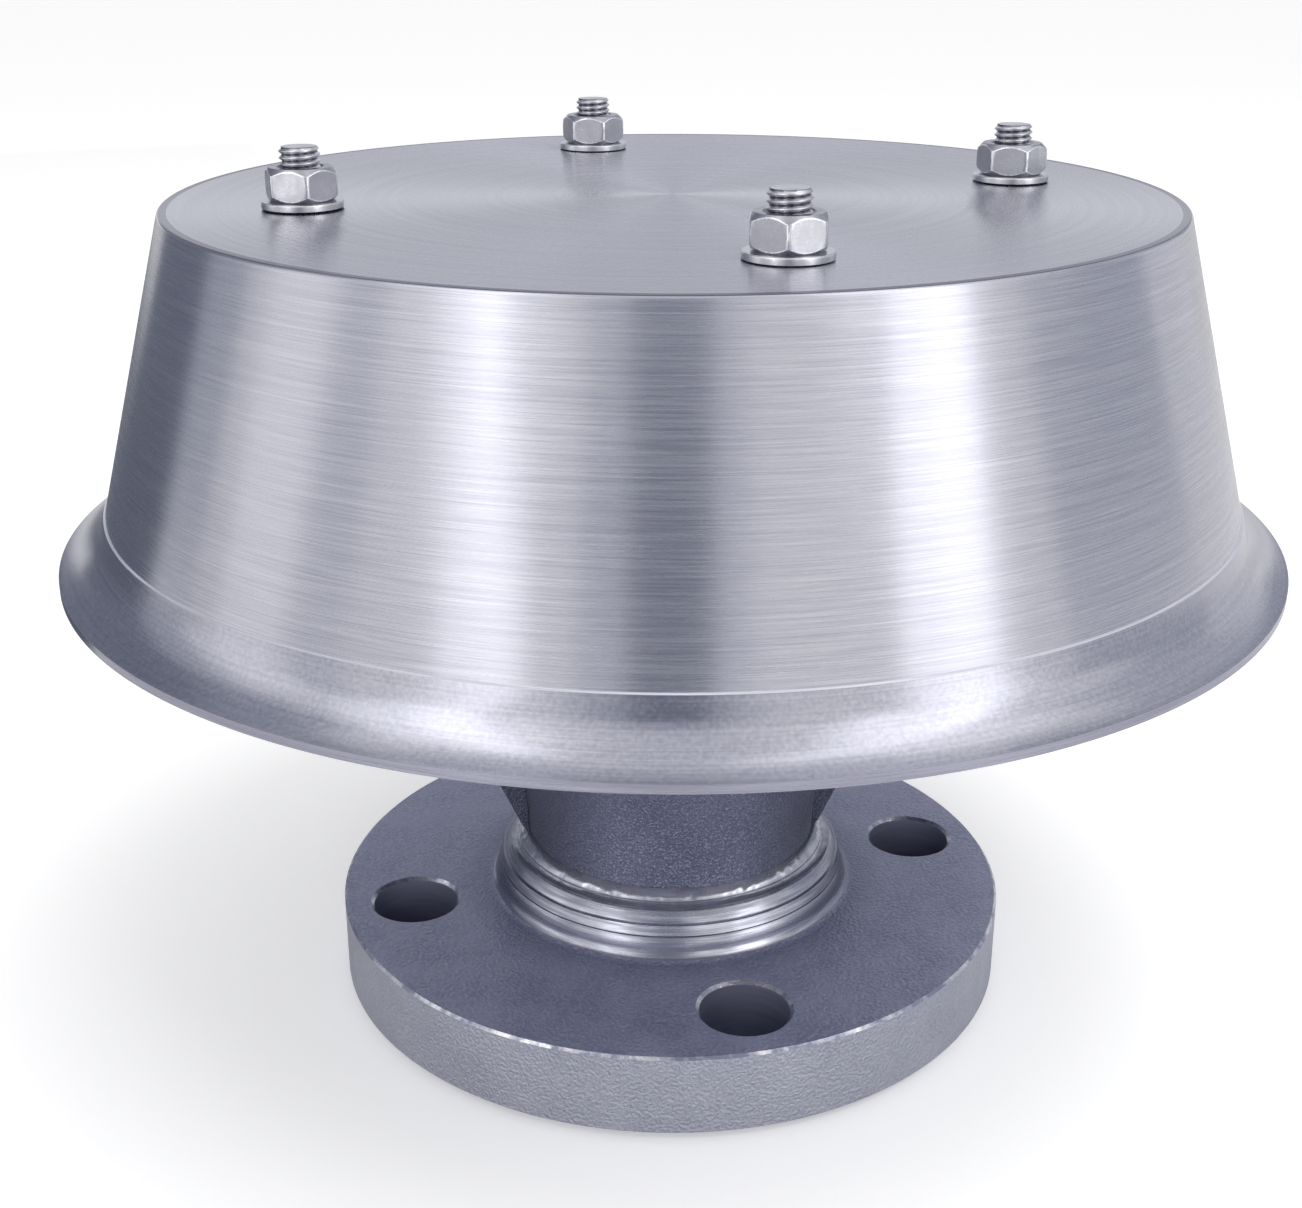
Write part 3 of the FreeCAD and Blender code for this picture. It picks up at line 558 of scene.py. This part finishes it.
def bore_finish():
    """Dark drilled wall of the flange holes."""
    finish, tree, surface, place = new_finish("drilled_bore", (0.25, 0.26, 0.36), 0.6, 0.4)
    rings_down = node(tree, "ShaderNodeVectorMath", {0: place, 1: (60.0, 60.0, 900.0)},
                      operation="MULTIPLY").outputs["Vector"]
    lines = grain(tree, rings_down, 1.0, 3.0)
    tone = blend_color(tree, fade(tree, lines, 0.3, 0.7), (0.24, 0.25, 0.36), (0.3, 0.31, 0.43))
    connect(tree, surface, Base_Color=tone)
    return finish


def gasket_finish():
    """Matt graphite sheet."""
    finish, tree, surface, place = new_finish("gasket", (0.05, 0.05, 0.055), 0.0, 0.75)
    flakes = grain(tree, place, 900, 3.0)
    tone = blend_color(tree, fade(tree, flakes, 0.35, 0.65),
                       (0.035, 0.035, 0.04), (0.09, 0.09, 0.1))
    connect(tree, surface, Base_Color=tone, Normal=bump(tree, flakes, 0.3, 0.1 * MM))
    return finish


FINISH = {
    "brushed_hood": hood_finish(),
    "flange_steel": flange_finish(),
    "cast_body": cast_finish(),
    "weld_bead": weld_finish(),
    "fasteners": fastener_finish("fasteners", (0.64, 0.64, 0.67), (0.54, 0.54, 0.58), 0.28),
    "cassette_steel": machined_finish("cassette_steel", (0.5, 0.51, 0.55), 0.3),
    "ribbon": machined_finish("ribbon", (0.55, 0.55, 0.58), 0.28, 300, 300),
    "gasket": gasket_finish(),
}
BRUSHED_TOP = hood_finish("brushed_top", streaks=0.45)
# Much darker, bluer ring at the hood's top edge: painted shade standing in for the shade of a fine
# groove.
PAINTED_EDGE_SHADE = hood_finish("rolled_edge", shade_of=0.36, blue=1.2)
CUT_EDGE = hood_finish("cut_edge", shade_of=0.7, blue=1.08)
# Ledge over the bead line in a slightly lighter, mostly diffuse tone: a painted highlight.
PAINTED_BEAD_HIGHLIGHT = hood_finish("bead_line", shade_of=1.05, metallic=0.25)
SATIN_RIM = rim_finish()
# Gusset plates: the cast finish with a smaller share of painted shade.
GUSSET_PLATE = cast_finish("gusset_plate", 0.7)
NUT_BEVELS = fastener_finish("nut_bevels", (0.42, 0.42, 0.47), (0.34, 0.34, 0.39), 0.3)
# Near-white tone for the nuts' bevel edges: painted highlight.
PAINTED_EDGE_GLINT = fastener_finish("bright_rim", (0.9, 0.9, 0.92), (0.8, 0.8, 0.84), 0.25)
# Dark tone for the thread valleys: painted shade.
PAINTED_VALLEY_SHADE = fastener_finish("dark_valley", (0.22, 0.22, 0.26), (0.14, 0.14, 0.18), 0.4)
# Nearly black tone for the washers' lowest band: painted shadow.
PAINTED_GAP_SHADOW = fastener_finish("dark_gap", (0.09, 0.09, 0.12), (0.05, 0.05, 0.07), 0.5)
TURNED = hub_finish()
WORN_EDGE = worn_finish()
LIT_FLANGE_SIDE = side_finish()
DRILLED = bore_finish()


def place_piece(piece, body, node_name):
    """Put a piece on its body, in place of its solids."""
    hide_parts(node_name)
    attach(piece, body)


def weather_hood():
    """The hood, with its rounded top edge, rolled bead and flared rim, and its stud holes."""
    top, rim = HOOD[1].z, HOOD[1].x
    shoulder = (TOP_RADIUS + EDGE_WIDTH, top - EDGE_DROP)
    foot = (rim - RIM_FLARE, HOOD_FOOT)
    slope = (foot[0] - shoulder[0]) / (shoulder[1] - foot[1])
    bead_top = (foot[0] - BEAD_HEIGHT * slope, foot[1] + BEAD_HEIGHT)
    proud = Vector((1, slope)).normalized() * BEAD_PROUD
    bead_middle = (bead_top[0] + BEAD_LEDGE * slope + proud.x, bead_top[1] - BEAD_LEDGE + proud.y)
    rim_x, rim_y = on_circle(1.0, RIM_START)
    centre = Vector((foot[0] + RIM_ROUND * rim_x, foot[1] + RIM_ROUND * rim_y))

    def on_flare(radius, across):
        return across, centre.y - math.sqrt(radius ** 2 - (centre.x - across) ** 2)

    inner_foot = (foot[0] - SHEET * rim_x, foot[1] - SHEET * rim_y)
    wall = SHEET * math.hypot(1, slope)
    crown = (shoulder[0] - EDGE_LIFT * slope, shoulder[1] + EDGE_LIFT)
    under = (shoulder[0] + (SHEET - EDGE_DROP) * slope - wall, top - SHEET)
    profile = [(0.0, top), (TOP_RADIUS - EDGE_START, top), (TOP_RADIUS + EDGE_FLAT, top)]
    profile += arc(profile[-1], crown, EDGE_ROUND, side=-1, steps=6)
    profile += [bead_top, bead_middle]
    flare = arc(foot, on_flare(RIM_ROUND, rim), RIM_ROUND, side=1, steps=RIM_STEPS)
    under_lip = on_flare(RIM_ROUND + SHEET, rim)
    profile += flare[RIM_HIDDEN_STEPS:] + [under_lip]
    profile += arc(under_lip, inner_foot, RIM_ROUND + SHEET, side=-1, steps=14)
    profile += [under, (0.0, top - SHEET)]
    sheet = FINISH["brushed_hood"]
    finishes = [sheet, SATIN_RIM, BRUSHED_TOP, PAINTED_EDGE_SHADE, CUT_EDGE, PAINTED_BEAD_HIGHLIGHT]
    hood = lathe("spun_hood", profile, finishes, segments=320)
    drill(hood, STUD_LINE, STUD_HOLE, top - SHEET, top, sheet, segments=48)

    def choose(across, height, _):
        if height < HOOD_FOOT:
            return CUT_EDGE if across > rim - SIDE_SKIN else SATIN_RIM
        if height > top - TOP_SKIN:
            # The outer ring of the top gets the painted edge shade.
            return PAINTED_EDGE_SHADE if across > TOP_RADIUS - EDGE_START else BRUSHED_TOP
        # The ledge over the bead line gets the painted highlight.
        on_bead = bead_middle[1] < height < bead_top[1] and across > bead_top[0]
        return PAINTED_BEAD_HIGHLIGHT if on_bead else sheet

    paint(hood, choose)
    place_piece(hood, "hood", "weather_hood")


def pipe_flange():
    """The flange, with its turned hub and four holes whose upper edges are worn bright."""
    foot, hub_top, rim = FLANGE[0].z, FLANGE[1].z, FLANGE[1].x
    profile = [
        (NECK_WALL, foot), (FACE_RADIUS, foot), (FACE_RADIUS, FACE_STEP),
        (rim - FLANGE_EDGE, FACE_STEP), (rim, FACE_STEP + FLANGE_EDGE),
        (rim, FLANGE_TOP - FLANGE_EDGE), (rim - FLANGE_EDGE, FLANGE_TOP),
        (FOOT_RADIUS + FOOT_FILLET, FLANGE_TOP),
    ]
    profile += arc(profile[-1], (FOOT_RADIUS, FLANGE_TOP + FOOT_FILLET), FOOT_FILLET,
                   side=-1, steps=8)
    profile += arc(profile[-1], (BAND_RADIUS + GROOVE, BAND_FOOT), FOOT_BULGE, side=1, steps=8)
    profile += [
        (BAND_RADIUS - GROOVE, BAND_FOOT), (BAND_RADIUS + BAND_LEAN, BAND_FOOT + GROOVE),
        (BAND_RADIUS - BAND_LEAN, BAND_TOP), (BAND_RADIUS - 3 * GROOVE, BAND_TOP + GROOVE / 2),
        (BAND_RADIUS - 2.5 * GROOVE, BAND_TOP + GROOVE),
    ]
    profile += arc(profile[-1], (HUB_TOP_RADIUS, hub_top), HUB_BULGE, side=1, steps=5)
    profile += [(NECK_WALL, hub_top)]

    def uneven(point, angle):
        outside = math.hypot(point.x, point.y) > NECK_WALL + BORE_SKIN
        hub = point.z > HUB_UNEVEN_FROM and outside
        swing = HUB_UNEVEN * noise.noise(point * HUB_WAVES) * hub
        return Vector((*on_circle(swing, angle), 0))

    finishes = [FINISH["flange_steel"], WORN_EDGE, DRILLED, TURNED, LIT_FLANGE_SIDE]
    flange = lathe("forged_flange", profile, finishes, segments=288, lump=uneven)
    drill(flange, BOLT_CIRCLE, BOLT_HOLE, foot, FLANGE_TOP, DRILLED, segments=96, wear=HOLE_WEAR)

    def choose(across, height, old):
        if old == DRILLED.name:
            return WORN_EDGE if height > FLANGE_TOP - HOLE_WEAR else DRILLED
        if height > FLANGE_TOP - FLANGE_EDGE and across > rim - FLANGE_EDGE:
            return WORN_EDGE
        if height > HUB_TURNED_FROM and across > NECK_WALL + BORE_SKIN:
            return TURNED
        return LIT_FLANGE_SIDE if across > rim - SIDE_SKIN else FINISH["flange_steel"]

    paint(flange, choose)
    place_piece(flange, "base", "pipe_flange")


def outer_weld():
    """The bead on the neck, laid in short overlapping ripples."""
    low, high = WELD[0].z, WELD[1].z
    waist, crest = ((NECK_WALL + out, low + up) for out, up in (WELD_WAIST, WELD_CREST))
    profile = [(NECK_WALL, low), (WELD_TOE, low), (WELD_TOE, low + WELD_STEP)]
    profile += arc(profile[-1], waist, WELD_LOWER_ROUND, side=-1, steps=5)
    profile += arc(profile[-1], crest, WELD_WAIST_ROUND, side=1, steps=5)
    profile += arc(crest, (NECK_WALL, high), WELD_UPPER_ROUND, side=1, steps=8)

    def ripple(point, angle):
        share = (math.hypot(point.x, point.y) - NECK_WALL) / (WELD_TOE - NECK_WALL)
        free = math.sin(math.pi * min(max((point.z - low) / (high - low), 0), 1))
        stray = RIPPLE_STRAY * noise.noise(point * RIPPLE_STRAY_GRAIN)
        wave = math.sin(angle * RIPPLES + stray + RIPPLE_LEAN * share)
        lift = RIPPLE_DEPTH * wave + POCK_DEPTH * noise.noise(point * POCK_GRAIN)
        return Vector((*on_circle(1.0, angle), RIPPLE_RISE)) * min(lift, 0.0) * free

    bead = lathe("laid_bead", profile, [FINISH["weld_bead"]], segments=720, smooth=70, lump=ripple)
    place_piece(bead, "base", "flange_weld")


def gussets():
    """Plates whose inner edge follows the bell and whose tips run out on the weld."""
    foot, top = GUSSETS[0].z, GUSSETS[1].z
    outer_foot = NECK_WALL + GUSSET_TOE
    rise = top - foot
    inner_top = NECK_WALL + BELL_CURVE - math.sqrt(BELL_CURVE ** 2 - rise ** 2)
    tip = outer_foot - (foot - GUSSET_TIP) * GUSSET_SLOPE
    profile = [(NECK_WALL, GUSSET_TIP), (tip, GUSSET_TIP),
               (outer_foot + rise * GUSSET_SLOPE, top), (inner_top, top)]
    profile += arc(profile[-1], (NECK_WALL, foot), BELL_CURVE, side=1, steps=24)
    build = bmesh.new()
    for degrees in GUSSET_ANGLES:
        turn = Matrix.Rotation(math.radians(degrees), 3, "Z")
        bar(build, [[turn @ Vector((radius, depth, height)) for radius, height in profile]
                    for depth in (-GUSSET_HALF, GUSSET_HALF)])
    plates = finished("pointed_gussets", build, slots=[GUSSET_PLATE])
    place_piece(plates, "base", "gusset_plates")


def thread_radius(height, angle):
    """Radius of a stud at a height and angle, with its ends bevelled."""
    turn = (height / PITCH - angle / (2 * math.pi)) % 1.0
    valley = THREAD_DEPTH * max(0.0, 1 - abs(turn - 0.5) * THREAD_STEEP) ** THREAD_ROUND
    end = min(height - STUDS[0].z, STUDS[1].z - height)
    bevel = STUD_RADIUS - THREAD_BEVEL + end if end < THREAD_BEVEL else STUD_RADIUS
    return min(STUD_RADIUS - valley, bevel)


def threaded_studs():
    """Four studs, threaded at both ends, with painted shade in the thread valleys."""
    step = PITCH / THREAD_STEPS
    count = round(THREAD_LENGTH / step)
    heights = [STUDS[0].z + step * number for number in range(count)]
    heights += [STUDS[1].z - step * number for number in range(count, -1, -1)]
    angles = [around(segment, STUD_SEGMENTS) for segment in range(STUD_SEGMENTS)]
    build = bmesh.new()
    for centre in STUD_CENTRES:
        middle = Vector((*centre, 0))
        bar(build, [[middle + Vector((*on_circle(thread_radius(height, angle), angle), height))
                     for angle in angles] for height in heights])
    studs = finished("threaded_studs", build, 50, [FINISH["fasteners"], PAINTED_VALLEY_SHADE])
    for face in studs.data.polygons:
        away = min(math.dist(face.center[:2], centre) for centre in STUD_CENTRES)
        face.material_index = int(SHADED_VALLEY_DEPTHS[0] < STUD_RADIUS - away < SHADED_VALLEY_DEPTHS[1])
    place_piece(studs, "base", "hood_studs")


def hexagon_nut(name, low, centre, turn):
    """A nut with corners bevelled at both ends, countersinks and a threaded bore, and a painted
    highlight where the bevels meet the flats.
    """
    high = low + NUT_HEIGHT
    angles = [around(segment, NUT_SEGMENTS) for segment in range(NUT_SEGMENTS)]
    place = Matrix.Translation((*centre, 0)) @ Matrix.Rotation(math.radians(turn), 4, "Z")

    def flat_and_bevel(angle, height):
        within = angle % (math.pi / 3) - math.pi / 6
        end = min(high - height, height - low)
        return NUT_FLATS / 2 / math.cos(within), NUT_FACE + end / NUT_BEVEL

    def side(angle, height):
        return min(*flat_and_bevel(angle, height), NUT_POINT)

    def sink(_angle, _height):
        return NUT_BORE + NUT_SINK

    def thread(angle, height):
        within = (height / PITCH - angle / (2 * math.pi)) % 1.0
        return NUT_BORE + NUT_THREAD * (1 - abs(within - 0.5) * 2)

    outside = [low + level for level in NUT_LEVELS]
    outside += [high - level for level in reversed(NUT_LEVELS)]
    step = PITCH / NUT_THREAD_STEPS
    inside = [high - NUT_SINK - step * number
              for number in range(round((NUT_HEIGHT - 2 * NUT_SINK) / step) + 1)]
    rows = [(side, height) for height in outside] + [(sink, high)]
    rows += [(thread, height) for height in inside] + [(sink, low)]
    build = bmesh.new()
    rings(build, [[place @ Vector((*on_circle(radius_at(angle, height), angle), height))
                   for angle in angles] for radius_at, height in rows], closed_up=True)
    bmesh.ops.remove_doubles(build, verts=build.verts, dist=SAME_POINT)
    nut = finished(name, build, 20, [FINISH["fasteners"], NUT_BEVELS, PAINTED_EDGE_GLINT])
    plain, bevelled, bright = range(3)
    for face in nut.data.polygons:
        spot = place.inverted() @ face.center
        flat, bevel = flat_and_bevel(math.atan2(spot.y, spot.x), spot.z)
        # Edges where bevel meets flat, and the corner points, get the painted highlight.
        at_point = flat > NUT_POINT - NUT_GLINT_WIDTH / 3 and bevel > flat
        if math.hypot(spot.x, spot.y) < NUT_FACE - NUT_FACE_SKIN:
            face.material_index = bevelled
        elif abs(bevel - flat) < NUT_GLINT_WIDTH or at_point:
            face.material_index = bright
        else:
            face.material_index = bevelled if bevel < flat else plain
    return nut


def washer(name, low, centre):
    """A stamped washer: its edges rounded above and bevelled below, with painted shadow on its
    lowest band.
    """
    high = low + WASHER_HEIGHT
    inner = WASHER_RADIUS - WASHER_EDGE
    profile = [(WASHER_BORE, low), (inner, low), (WASHER_RADIUS, low + WASHER_EDGE),
               (WASHER_RADIUS, high - WASHER_EDGE)]
    profile += arc(profile[-1], (inner, high), WASHER_EDGE, side=1, steps=5)
    profile += [(WASHER_BORE + WASHER_BEVEL, high), (WASHER_BORE, high - WASHER_BEVEL)]
    made = lathe(name, profile, [FINISH["fasteners"], PAINTED_GAP_SHADOW], segments=96, centre=centre)
    for face in made.data.polygons:
        # Faces in the lowest band get the painted shadow.
        face.material_index = int(face.center.z < low + WASHER_SHADOW_BAND)
    return made


def joined(parts):
    """One object from several, which share its finishes."""
    build = bmesh.new()
    for part in parts:
        build.from_mesh(part.data)
    first = parts[0]
    build.to_mesh(first.data)
    build.free()
    for part in parts[1:]:
        bpy.data.objects.remove(part)
    return first


def fasteners():
    """Hood nuts and washers, each on its own body, and those under the ring."""
    def foot(node_name):
        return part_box(node_name)[0].z

    for label, (centre, turn) in enumerate(zip(STUD_CENTRES, NUT_TURNS), 1):
        solid = f"hood_nut_{label}"
        nut = hexagon_nut(f"hexagon_nut_{label}", foot(solid), centre, turn)
        place_piece(nut, f"nut_{label}", solid)
        solid = f"hood_washer_{label}"
        upper = washer(f"flat_washer_{label}", foot(solid), centre)
        place_piece(upper, f"washer_{label}", solid)
    solid = "stud_lower_nuts"
    nuts = [hexagon_nut(f"lower_nut_{number}", foot(solid), centre, 0)
            for number, centre in enumerate(STUD_CENTRES)]
    place_piece(joined(nuts), "base", solid)
    solid = "stud_lower_washers"
    washers = [washer(f"lower_washer_{number}", foot(solid), centre)
               for number, centre in enumerate(STUD_CENTRES)]
    place_piece(joined(washers), "base", solid)


def ribbon_disc(name, node_name):
    """Flat foil and crimped foil wound together about the core."""
    low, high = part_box(node_name)[0].z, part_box(node_name)[1].z
    core, outer = CORE[1].x, SPACER[1].x
    turns = (outer - core - 3 * FOIL) / WINDING
    build = bmesh.new()

    def strip(path):
        rows = []
        for angle, radius in path:
            inside, outside = (on_circle(radius + side * FOIL / 2, angle) for side in (-1, 1))
            rows.append([(*inside, low), (*outside, low), (*outside, high), (*inside, high)])
        bar(build, rows)

    def flat_radius(angle):
        return core + FOIL + WINDING * angle / (2 * math.pi)

    angles = [FLAT_STEP * index for index in range(int(2 * math.pi * turns / FLAT_STEP))]
    strip([(angle, flat_radius(angle)) for angle in angles])
    crimps, angle, outwards = [], 0.0, False
    while angle < 2 * math.pi * (turns - 1):
        radius = flat_radius(angle) + (WINDING - FOIL if outwards else FOIL)
        crimps.append((angle, radius))
        angle += CRIMP / 2 / radius
        outwards = not outwards
    strip(crimps)
    place_piece(finished(name, build, 20, [FINISH["ribbon"]]), "cassette", node_name)


def dress_solids():
    """Give each solid that stays shown the finish of its slot."""
    for entry in frame["record"]["subparts"]:
        solid = frame["nodes"][entry["node"]]
        solid.data.materials.clear()
        solid.data.materials.append(FINISH[entry["material_slot"]])


# Studio cards: direction from the camera round the object (positive to the right), width,
# lowest and highest elevation, lean of the direction with elevation, all in degrees, and
# brightness. Below the horizon a card goes on as a mat on the floor.
CARDS = [
    ("key_core", 53.5, 11, -2, 38, 0.28, 2.3),
    ("key_crown", 53.5, 11, 38, 84, 0.28, 3.0),
    ("key_soft", 44, 8, -2, 84, 0.28, 2.0),
    ("key_edge", 61.5, 5, -2, 84, 0.28, 1.2),
    ("key_inner", 39.2, 8, 34, 60, 0.07, 2.0),
    ("key_outer", 59.5, 14, 50, 70, 0.72, 1.5),
    ("left_core", -28, 6, -2, 34, -0.55, 2.4),
    ("left_crown", -29, 12, 34, 74, -0.48, 2.4),
    ("left_low", -36, 10, -2, 10, 0.0, 2.0),
    ("left_soft", -36, 10, 10, 34, -0.5, 1.5),
    ("left_halo", -36, 12, 34, 66, -0.8, 1.6),
    ("left_inner", -23, 8, 34, 60, -0.2, 1.5),
    ("left_fill", -81, 16, -2, 38, 0.0, 1.25),
    ("left_shade", -65, 11, -2, 34, 0.0, 0.8),
    ("camera_flag", 0, 15, -10, 30, 0.0, 0.3),
    ("camera_brow", 0, 15, 30, 46, 0.0, 0.55),
    ("camera_dusk", -12, 9, -2, 34, 0.0, 0.66),
    ("camera_dawn", 11, 7, -2, 34, 0.0, 0.76),
    ("camera_high", 2, 18, 50, 89, 0.0, 0.88),
    ("right_flag", 94, 38, -2, 24, 0.0, 0.63),
    ("right_dusk", 125, 18, -2, 24, 0.0, 0.85),
    ("right_high", 116, 40, 24, 46, 0.0, 0.7),
    ("right_back", 148, 24, 10, 56, 0.0, 0.5),
    ("left_middle", -104, 14, -2, 44, 0.0, 0.62),
    ("left_flag", -124, 28, -2, 11, 0.0, 0.26),
    ("left_dusk", -131, 38, 11, 44, 0.0, 0.31),
    ("left_haze", -118, 40, 44, 58, 0.0, 0.5),
    ("left_mat", -136, 56, -20, -2, 0.0, 0.2),
    ("left_back", -170, 28, 34, 60, 0.0, 0.4),
    ("back_flag", 180, 50, -2, 50, 0.0, 0.8),
    ("back_high", 180, 50, 60, 89, 0.0, 0.72),
]
LEAN_FROM = 10
MAT_EYE = 100 * MM
MAT_HEIGHT = 0.5 * MM
SHADE = Vector((0.64, 0.73, 1.0))
WHITE = Vector((1, 1, 1))
CARD_DISTANCE = 1.6
CARD_ROWS = 12
CARD_COLUMNS = 8
CARD_NARROWEST = 0.35
FLOOR_REACH = 30.0
FLOOR_DROP = 0.2 * MM
FLOOR_GLOW = 0.31
SURROUND = 0.72
LAMPS = [
    ("overhead_softbox", 1.2, 11, (0.35, -0.5, 1.5)),
    ("front_fill", 0.5, 3.2, (-0.27, -1.0, 0.3)),
]
LAMP_TARGET = Vector((0, 0, 0.06))
CAMERA_HEADING = math.radians(14.31)
CAMERA_PITCH = math.radians(21.31)
CAMERA_PLACE = Vector((-97.1, -362.4, 232.97)) * MM
FOCAL_PIXELS = 1799.69
IMAGE_WIDTH = 1302
SENSOR = 36.0
CLIP_START = 0.01


def glow(name, color, strength):
    """Emission finish for a card that only reflections see."""
    finish = bpy.data.materials.new(name)
    finish.use_nodes = True
    tree = finish.node_tree
    tree.nodes.remove(tree.nodes["Principled BSDF"])
    light = node(tree, "ShaderNodeEmission", {"Color": (*color, 1), "Strength": strength})
    tree.links.new(light.outputs[0], tree.nodes["Material Output"].inputs["Surface"])
    return finish


def studio_cards():
    """Bright strips and dark flags on a dome, which give the brushed metal its bands."""
    toward_camera = math.atan2(CAMERA_PLACE.y, CAMERA_PLACE.x)
    for name, direction, width, low, high, lean, brightness in CARDS:
        build = bmesh.new()
        grid = []
        for row in range(CARD_ROWS + 1):
            climb = low + (high - low) * row / CARD_ROWS
            up = math.radians(climb)
            reach, height = on_circle(CARD_DISTANCE, up)
            if climb < 0:
                reach, height = min(CARD_DISTANCE, MAT_EYE / math.tan(-up)), MAT_HEIGHT
            middle = direction + lean * max(climb - LEAN_FROM, 0)
            wider = width / max(math.cos(up), CARD_NARROWEST)
            angles = [toward_camera + math.radians(middle + wider * (column / CARD_COLUMNS - 0.5))
                      for column in range(CARD_COLUMNS + 1)]
            grid.append([build.verts.new((*on_circle(reach, angle), height)) for angle in angles])
        for lower, upper in zip(grid, grid[1:]):
            for column in range(CARD_COLUMNS):
                build.faces.new((lower[column], lower[column + 1],
                                 upper[column + 1], upper[column]))
        tint = SHADE.lerp(WHITE, min(brightness, 1.0))
        card = finished(name, build, 180, [glow(name, tint, brightness)])
        card.visible_camera = False
        card.visible_diffuse = False
        card.visible_shadow = False
        card.visible_transmission = False


def studio_floor():
    """Pale floor that goes on past the view and keeps the shadow."""
    build = bmesh.new()
    build.faces.new([
        build.verts.new((across * FLOOR_REACH, ahead * FLOOR_REACH, FLANGE[0].z - FLOOR_DROP))
        for across, ahead in ((-1, -1), (1, -1), (1, 1), (-1, 1))])
    finish, tree, surface, _ = new_finish(
        "pale_floor", (0.86, 0.86, 0.87), 0.0, 0.8, Specular_IOR_Level=0.2,
        Emission_Color=(1, 1, 1, 1))
    path = node(tree, "ShaderNodeLightPath")
    seen = math_node(tree, "MULTIPLY", path.outputs["Is Camera Ray"], FLOOR_GLOW)
    connect(tree, surface, Emission_Strength=seen)
    finished("studio_floor", build, slots=[finish])


def studio_light():
    """Even white surroundings and two soft lamps."""
    world = bpy.data.worlds.new("studio")
    bpy.context.scene.world = world
    world.use_nodes = True
    tree = world.node_tree
    path = node(tree, "ShaderNodeLightPath")
    shown = path.outputs["Is Camera Ray"]
    for ray in ("Is Glossy Ray", "Is Transmission Ray"):
        shown = math_node(tree, "MAXIMUM", shown, path.outputs[ray])
    background = tree.nodes["Background"]
    background.inputs["Color"].default_value = (1, 1, 1, 1)
    tree.links.new(fade(tree, shown, 0.0, 1.0, SURROUND, 1.0), background.inputs["Strength"])
    for name, size, energy, place in LAMPS:
        lamp = bpy.data.lights.new(name, "AREA")
        lamp.shape = "SQUARE"
        lamp.size = size
        lamp.energy = energy
        box = bpy.data.objects.new(name, lamp)
        box.location = place
        box.rotation_mode = "QUATERNION"
        box.rotation_quaternion = (box.location - LAMP_TARGET).to_track_quat("Z", "Y")
        box.visible_glossy = False
        bpy.context.scene.collection.objects.link(box)


def camera():
    """The photograph's camera."""
    data = bpy.data.cameras.new("camera")
    data.sensor_width = SENSOR
    data.lens = FOCAL_PIXELS * SENSOR / IMAGE_WIDTH
    data.clip_start = CLIP_START
    eye = bpy.data.objects.new("camera", data)
    level = math.cos(CAMERA_PITCH)
    ahead = Vector((math.sin(CAMERA_HEADING) * level, math.cos(CAMERA_HEADING) * level,
                    -math.sin(CAMERA_PITCH)))
    eye.location = CAMERA_PLACE
    eye.rotation_mode = "QUATERNION"
    eye.rotation_quaternion = ahead.to_track_quat("-Z", "Y")
    bpy.context.scene.collection.objects.link(eye)
    bpy.context.scene.camera = eye


camera()
studio_light()
studio_floor()
studio_cards()
dress_solids()
weather_hood()
pipe_flange()
outer_weld()
gussets()
threaded_studs()
fasteners()
ribbon_disc("fine_ribbon_lower", "lower_ribbon_disc")
ribbon_disc("fine_ribbon_upper", "upper_ribbon_disc")
bpy.context.scene.view_settings.view_transform = "Standard"
